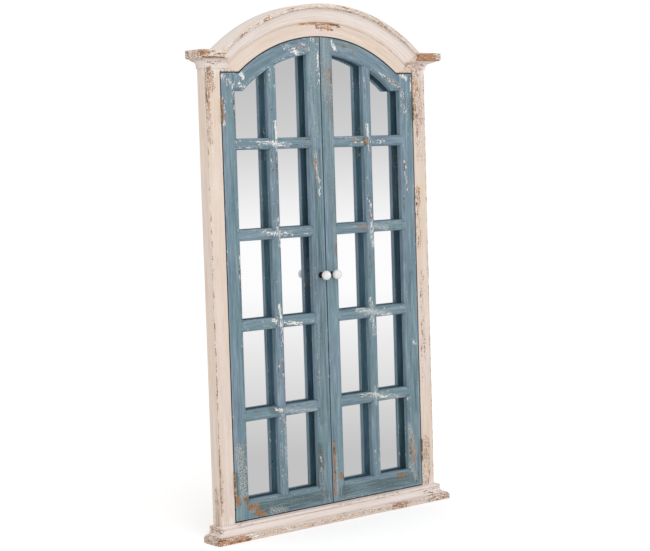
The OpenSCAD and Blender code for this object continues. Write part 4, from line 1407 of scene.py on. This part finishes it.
@dataclass(frozen=True)
class NailHead:
    """A small dished nail head, driven level with the paint. Its sizes are millimetres.

    Face is the y of the wood's face and outward is 1 or -1, the way along Y that it faces. The
    profile gives radius and height over the face, from the rim in.
    """

    body: str
    x: float
    z: float
    face: float
    outward: int
    profile: tuple[tuple[float, float], ...] = (
        (1.7, -0.4),
        (1.7, 0.04),
        (1.35, 0.16),
        (0.9, 0.1),
        (0.4, 0.05),
    )
    sides: int = 20

    def build(self, name: str, material: bpy.types.Material) -> None:
        """Makes the nail head and reports it.

        Args:
            name: The piece's name.
            material: Its finish.
        """
        bm = bmesh.new()
        rings = []
        for radius, height in self.profile:
            ring = []
            y = self.face + self.outward * height
            for i in range(self.sides):
                turn = math.tau * i / self.sides
                x, z = self.x + radius * math.cos(turn), self.z + radius * math.sin(turn)
                ring.append(bm.verts.new(Vector((x, y, z)) * MM))
            rings.append(ring)
        for low, high in zip(rings, rings[1:]):
            for i in range(self.sides):
                j = (i + 1) % self.sides
                bm.faces.new((low[i], low[j], high[j], high[i]))
        bm.faces.new(rings[0])
        bm.faces.new(rings[-1])
        bmesh.ops.recalc_face_normals(bm, faces=bm.faces)
        mesh = bpy.data.meshes.new(name)
        bm.to_mesh(mesh)
        bm.free()
        mesh.shade_smooth()
        mesh.materials.append(material)
        head = bpy.data.objects.new(name, mesh)
        bpy.context.scene.collection.objects.link(head)
        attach(head, self.body)
        log.info("%s: %d faces", head.name, len(mesh.polygons))


def both(*parts: str) -> tuple[str, ...]:
    """The names of parts that stand on both sides of the mirror."""
    return tuple(f"{side}_{part}" for part in parts for side in SIDES)


@dataclass
class Fittings:
    """The mirror, its back, and the metal and porcelain fittings."""

    finishes: dict[str, tuple[str, ...]] = field(
        default_factory=lambda: {
            "silvering": ("mirror_glass",),
            "hardboard": ("back_panel",),
            "zinc_steel": ("panel_screws", "hanger_plates", "hanger_screws", *both("strike_plate")),
            "aged_brass": (
                *both("frame_hinge_leaves", "hinge_pins", "door_hinge_leaves"),
                *both("door_hinge_screws"),
                "frame_hinge_screws",
            ),
            "dark_iron": ("magnet_catches", *both("knob_collar", "knob_bolt")),
            "porcelain": both("knob"),
        }
    )
    nails: tuple[NailHead, ...] = (
        NailHead("left_door", x=-142.6, z=960.5, face=-32.0, outward=-1),
        NailHead("left_door", x=-146.0, z=155.0, face=-18.4, outward=1),
    )

    def build(self, materials: dict[str, bpy.types.Material]) -> None:
        """Gives every fitting its finish, and drives the nails.

        Args:
            materials: The finishes by name.
        """
        for finish, nodes in self.finishes.items():
            for node in nodes:
                mesh = frame["nodes"][node].data
                mesh.materials.clear()
                mesh.materials.append(materials[finish])
                log.info("%s: %s", node, finish)
        for number, nail in enumerate(self.nails, start=1):
            nail.build(f"nail_head_{number}", materials["dark_iron"])


# ---------------------------------------------------------------- studio


@dataclass(frozen=True)
class Studio:
    """A white studio with a pale floor and a camera at the photograph's place.

    Lengths are metres, and turns and the glow's heights are degrees. The glow is what the mirror
    and the glaze see of the room: a grey of 0 to 255 at each height over the horizon.
    """

    camera_place: tuple[float, float, float] = (-2.33711, -2.96334, 0.86496)
    camera_turn: tuple[float, float, float] = (85.58951, 1.74080, -38.64957)
    lens_mm: float = 89.593
    sensor_mm: float = 36.0
    ambient: float = 0.8
    lamp_watts: float = 60.0
    lamp_place: tuple[float, float, float] = (-2.0, -4.2, 2.6)
    lamp_aim: tuple[float, float, float] = (0.0, 0.0, 0.6)
    lamp_size: float = 3.0
    floor_size: float = 30.0
    floor_tone: float = 0.9
    floor_lift: float = 0.32
    glow: tuple[tuple[float, float], ...] = (
        (-10.7, 196),
        (-7.2, 233),
        (-4.9, 254),
        (-3.2, 254),
        (-1.8, 240),
        (0.3, 211),
        (2.8, 193),
    )

    def build(self) -> None:
        """Makes the camera, the world, the lamp and the floor."""
        self._camera()
        self._world()
        self._lamp()
        self._floor()

    def _camera(self) -> None:
        """Places the camera."""
        data = bpy.data.cameras.new("camera")
        data.sensor_width = self.sensor_mm
        data.sensor_fit = "HORIZONTAL"
        data.lens = self.lens_mm
        camera = bpy.data.objects.new("camera", data)
        camera.location = self.camera_place
        camera.rotation_euler = [math.radians(angle) for angle in self.camera_turn]
        bpy.context.scene.collection.objects.link(camera)
        bpy.context.scene.camera = camera

    def _world(self) -> None:
        """White to the camera, a soft band of light to mirrors, and plain light to the rest."""
        world = bpy.data.worlds.new("studio")
        world.use_nodes = True
        bpy.context.scene.world = world
        g = Graph(world.node_tree)
        direction = g.add("ShaderNodeTexCoord").outputs["Generated"]
        height = g.add("ShaderNodeSeparateXYZ", {0: direction}).outputs[2]
        # A direction's Z is the sine of its height, and the ramp holds -0.5 to 0.5 of it
        stops = [
            (0.5 + math.sin(math.radians(angle)), srgb(tone, tone, tone + 1))
            for angle, tone in self.glow
        ]
        band = g.ramp(g.calc("ADD", height, 0.5), stops)
        rays = g.add("ShaderNodeLightPath").outputs
        colour = g.mix(rays["Is Glossy Ray"], grey(self.ambient), band)
        clear = g.most(rays["Is Camera Ray"], rays["Is Transmission Ray"])
        colour = g.mix(clear, colour, grey(1.0))
        background = g.add("ShaderNodeBackground", {"Color": colour, "Strength": 1.0})
        g.add("ShaderNodeOutputWorld", {0: background.outputs[0]})

    def _lamp(self) -> None:
        """A large soft lamp from the front, left and above."""
        data = bpy.data.lights.new("softbox", "AREA")
        data.energy = self.lamp_watts
        data.shape = "SQUARE"
        data.size = self.lamp_size
        lamp = bpy.data.objects.new("softbox", data)
        lamp.location = self.lamp_place
        aim = Vector(self.lamp_aim) - Vector(self.lamp_place)
        lamp.rotation_euler = aim.to_track_quat("-Z", "Y").to_euler()
        lamp.visible_glossy = False
        bpy.context.scene.collection.objects.link(lamp)

    def _floor(self) -> None:
        """A pale floor that keeps the object's shadow, lifted towards white for the camera."""
        bm = bmesh.new()
        bmesh.ops.create_grid(bm, x_segments=1, y_segments=1, size=self.floor_size / 2)
        mesh = bpy.data.meshes.new("floor")
        bm.to_mesh(mesh)
        bm.free()
        floor = bpy.data.objects.new("floor", mesh)
        bpy.context.scene.collection.objects.link(floor)
        material, g = new_material("pale_floor")
        seen = g.add("ShaderNodeLightPath").outputs["Is Camera Ray"]
        plain = g.add("ShaderNodeBsdfDiffuse", {"Color": grey(self.floor_tone)}).outputs[0]
        lift = {"Color": grey(1.0), "Strength": self.floor_lift}
        glow = g.add("ShaderNodeEmission", lift).outputs[0]
        lit = g.add("ShaderNodeAddShader", {0: plain, 1: glow}).outputs[0]
        shader = g.add("ShaderNodeMixShader", {0: seen, 1: plain, 2: lit}).outputs[0]
        g.add("ShaderNodeOutputMaterial", {0: shader})
        mesh.materials.append(material)
        floor.visible_glossy = False


def main() -> None:
    """Builds the whole scene in order."""
    logging.basicConfig(level=logging.INFO, format="%(name)s: %(message)s")
    bpy.context.scene.view_settings.view_transform = "Standard"
    Studio().build()
    cream = CREAM_PAINT.build()
    blue = BLUE_PAINT.build()
    neighbours = painted_solids()
    MirrorFrame().build(cream, neighbours)
    for side, marks in zip(SIDES, (LEFT_DOOR_MARKS, RIGHT_DOOR_MARKS)):
        ShutterDoor(side, marks).build(blue, neighbours)
    finishes = {
        "silvering": Silvering(),
        "hardboard": Hardboard(),
        "zinc_steel": STEEL,
        "aged_brass": BRASS,
        "dark_iron": DARK_IRON,
        "porcelain": Porcelain(),
    }
    Fittings().build({name: finish.build() for name, finish in finishes.items()})


if __name__ == "__main__":
    main()
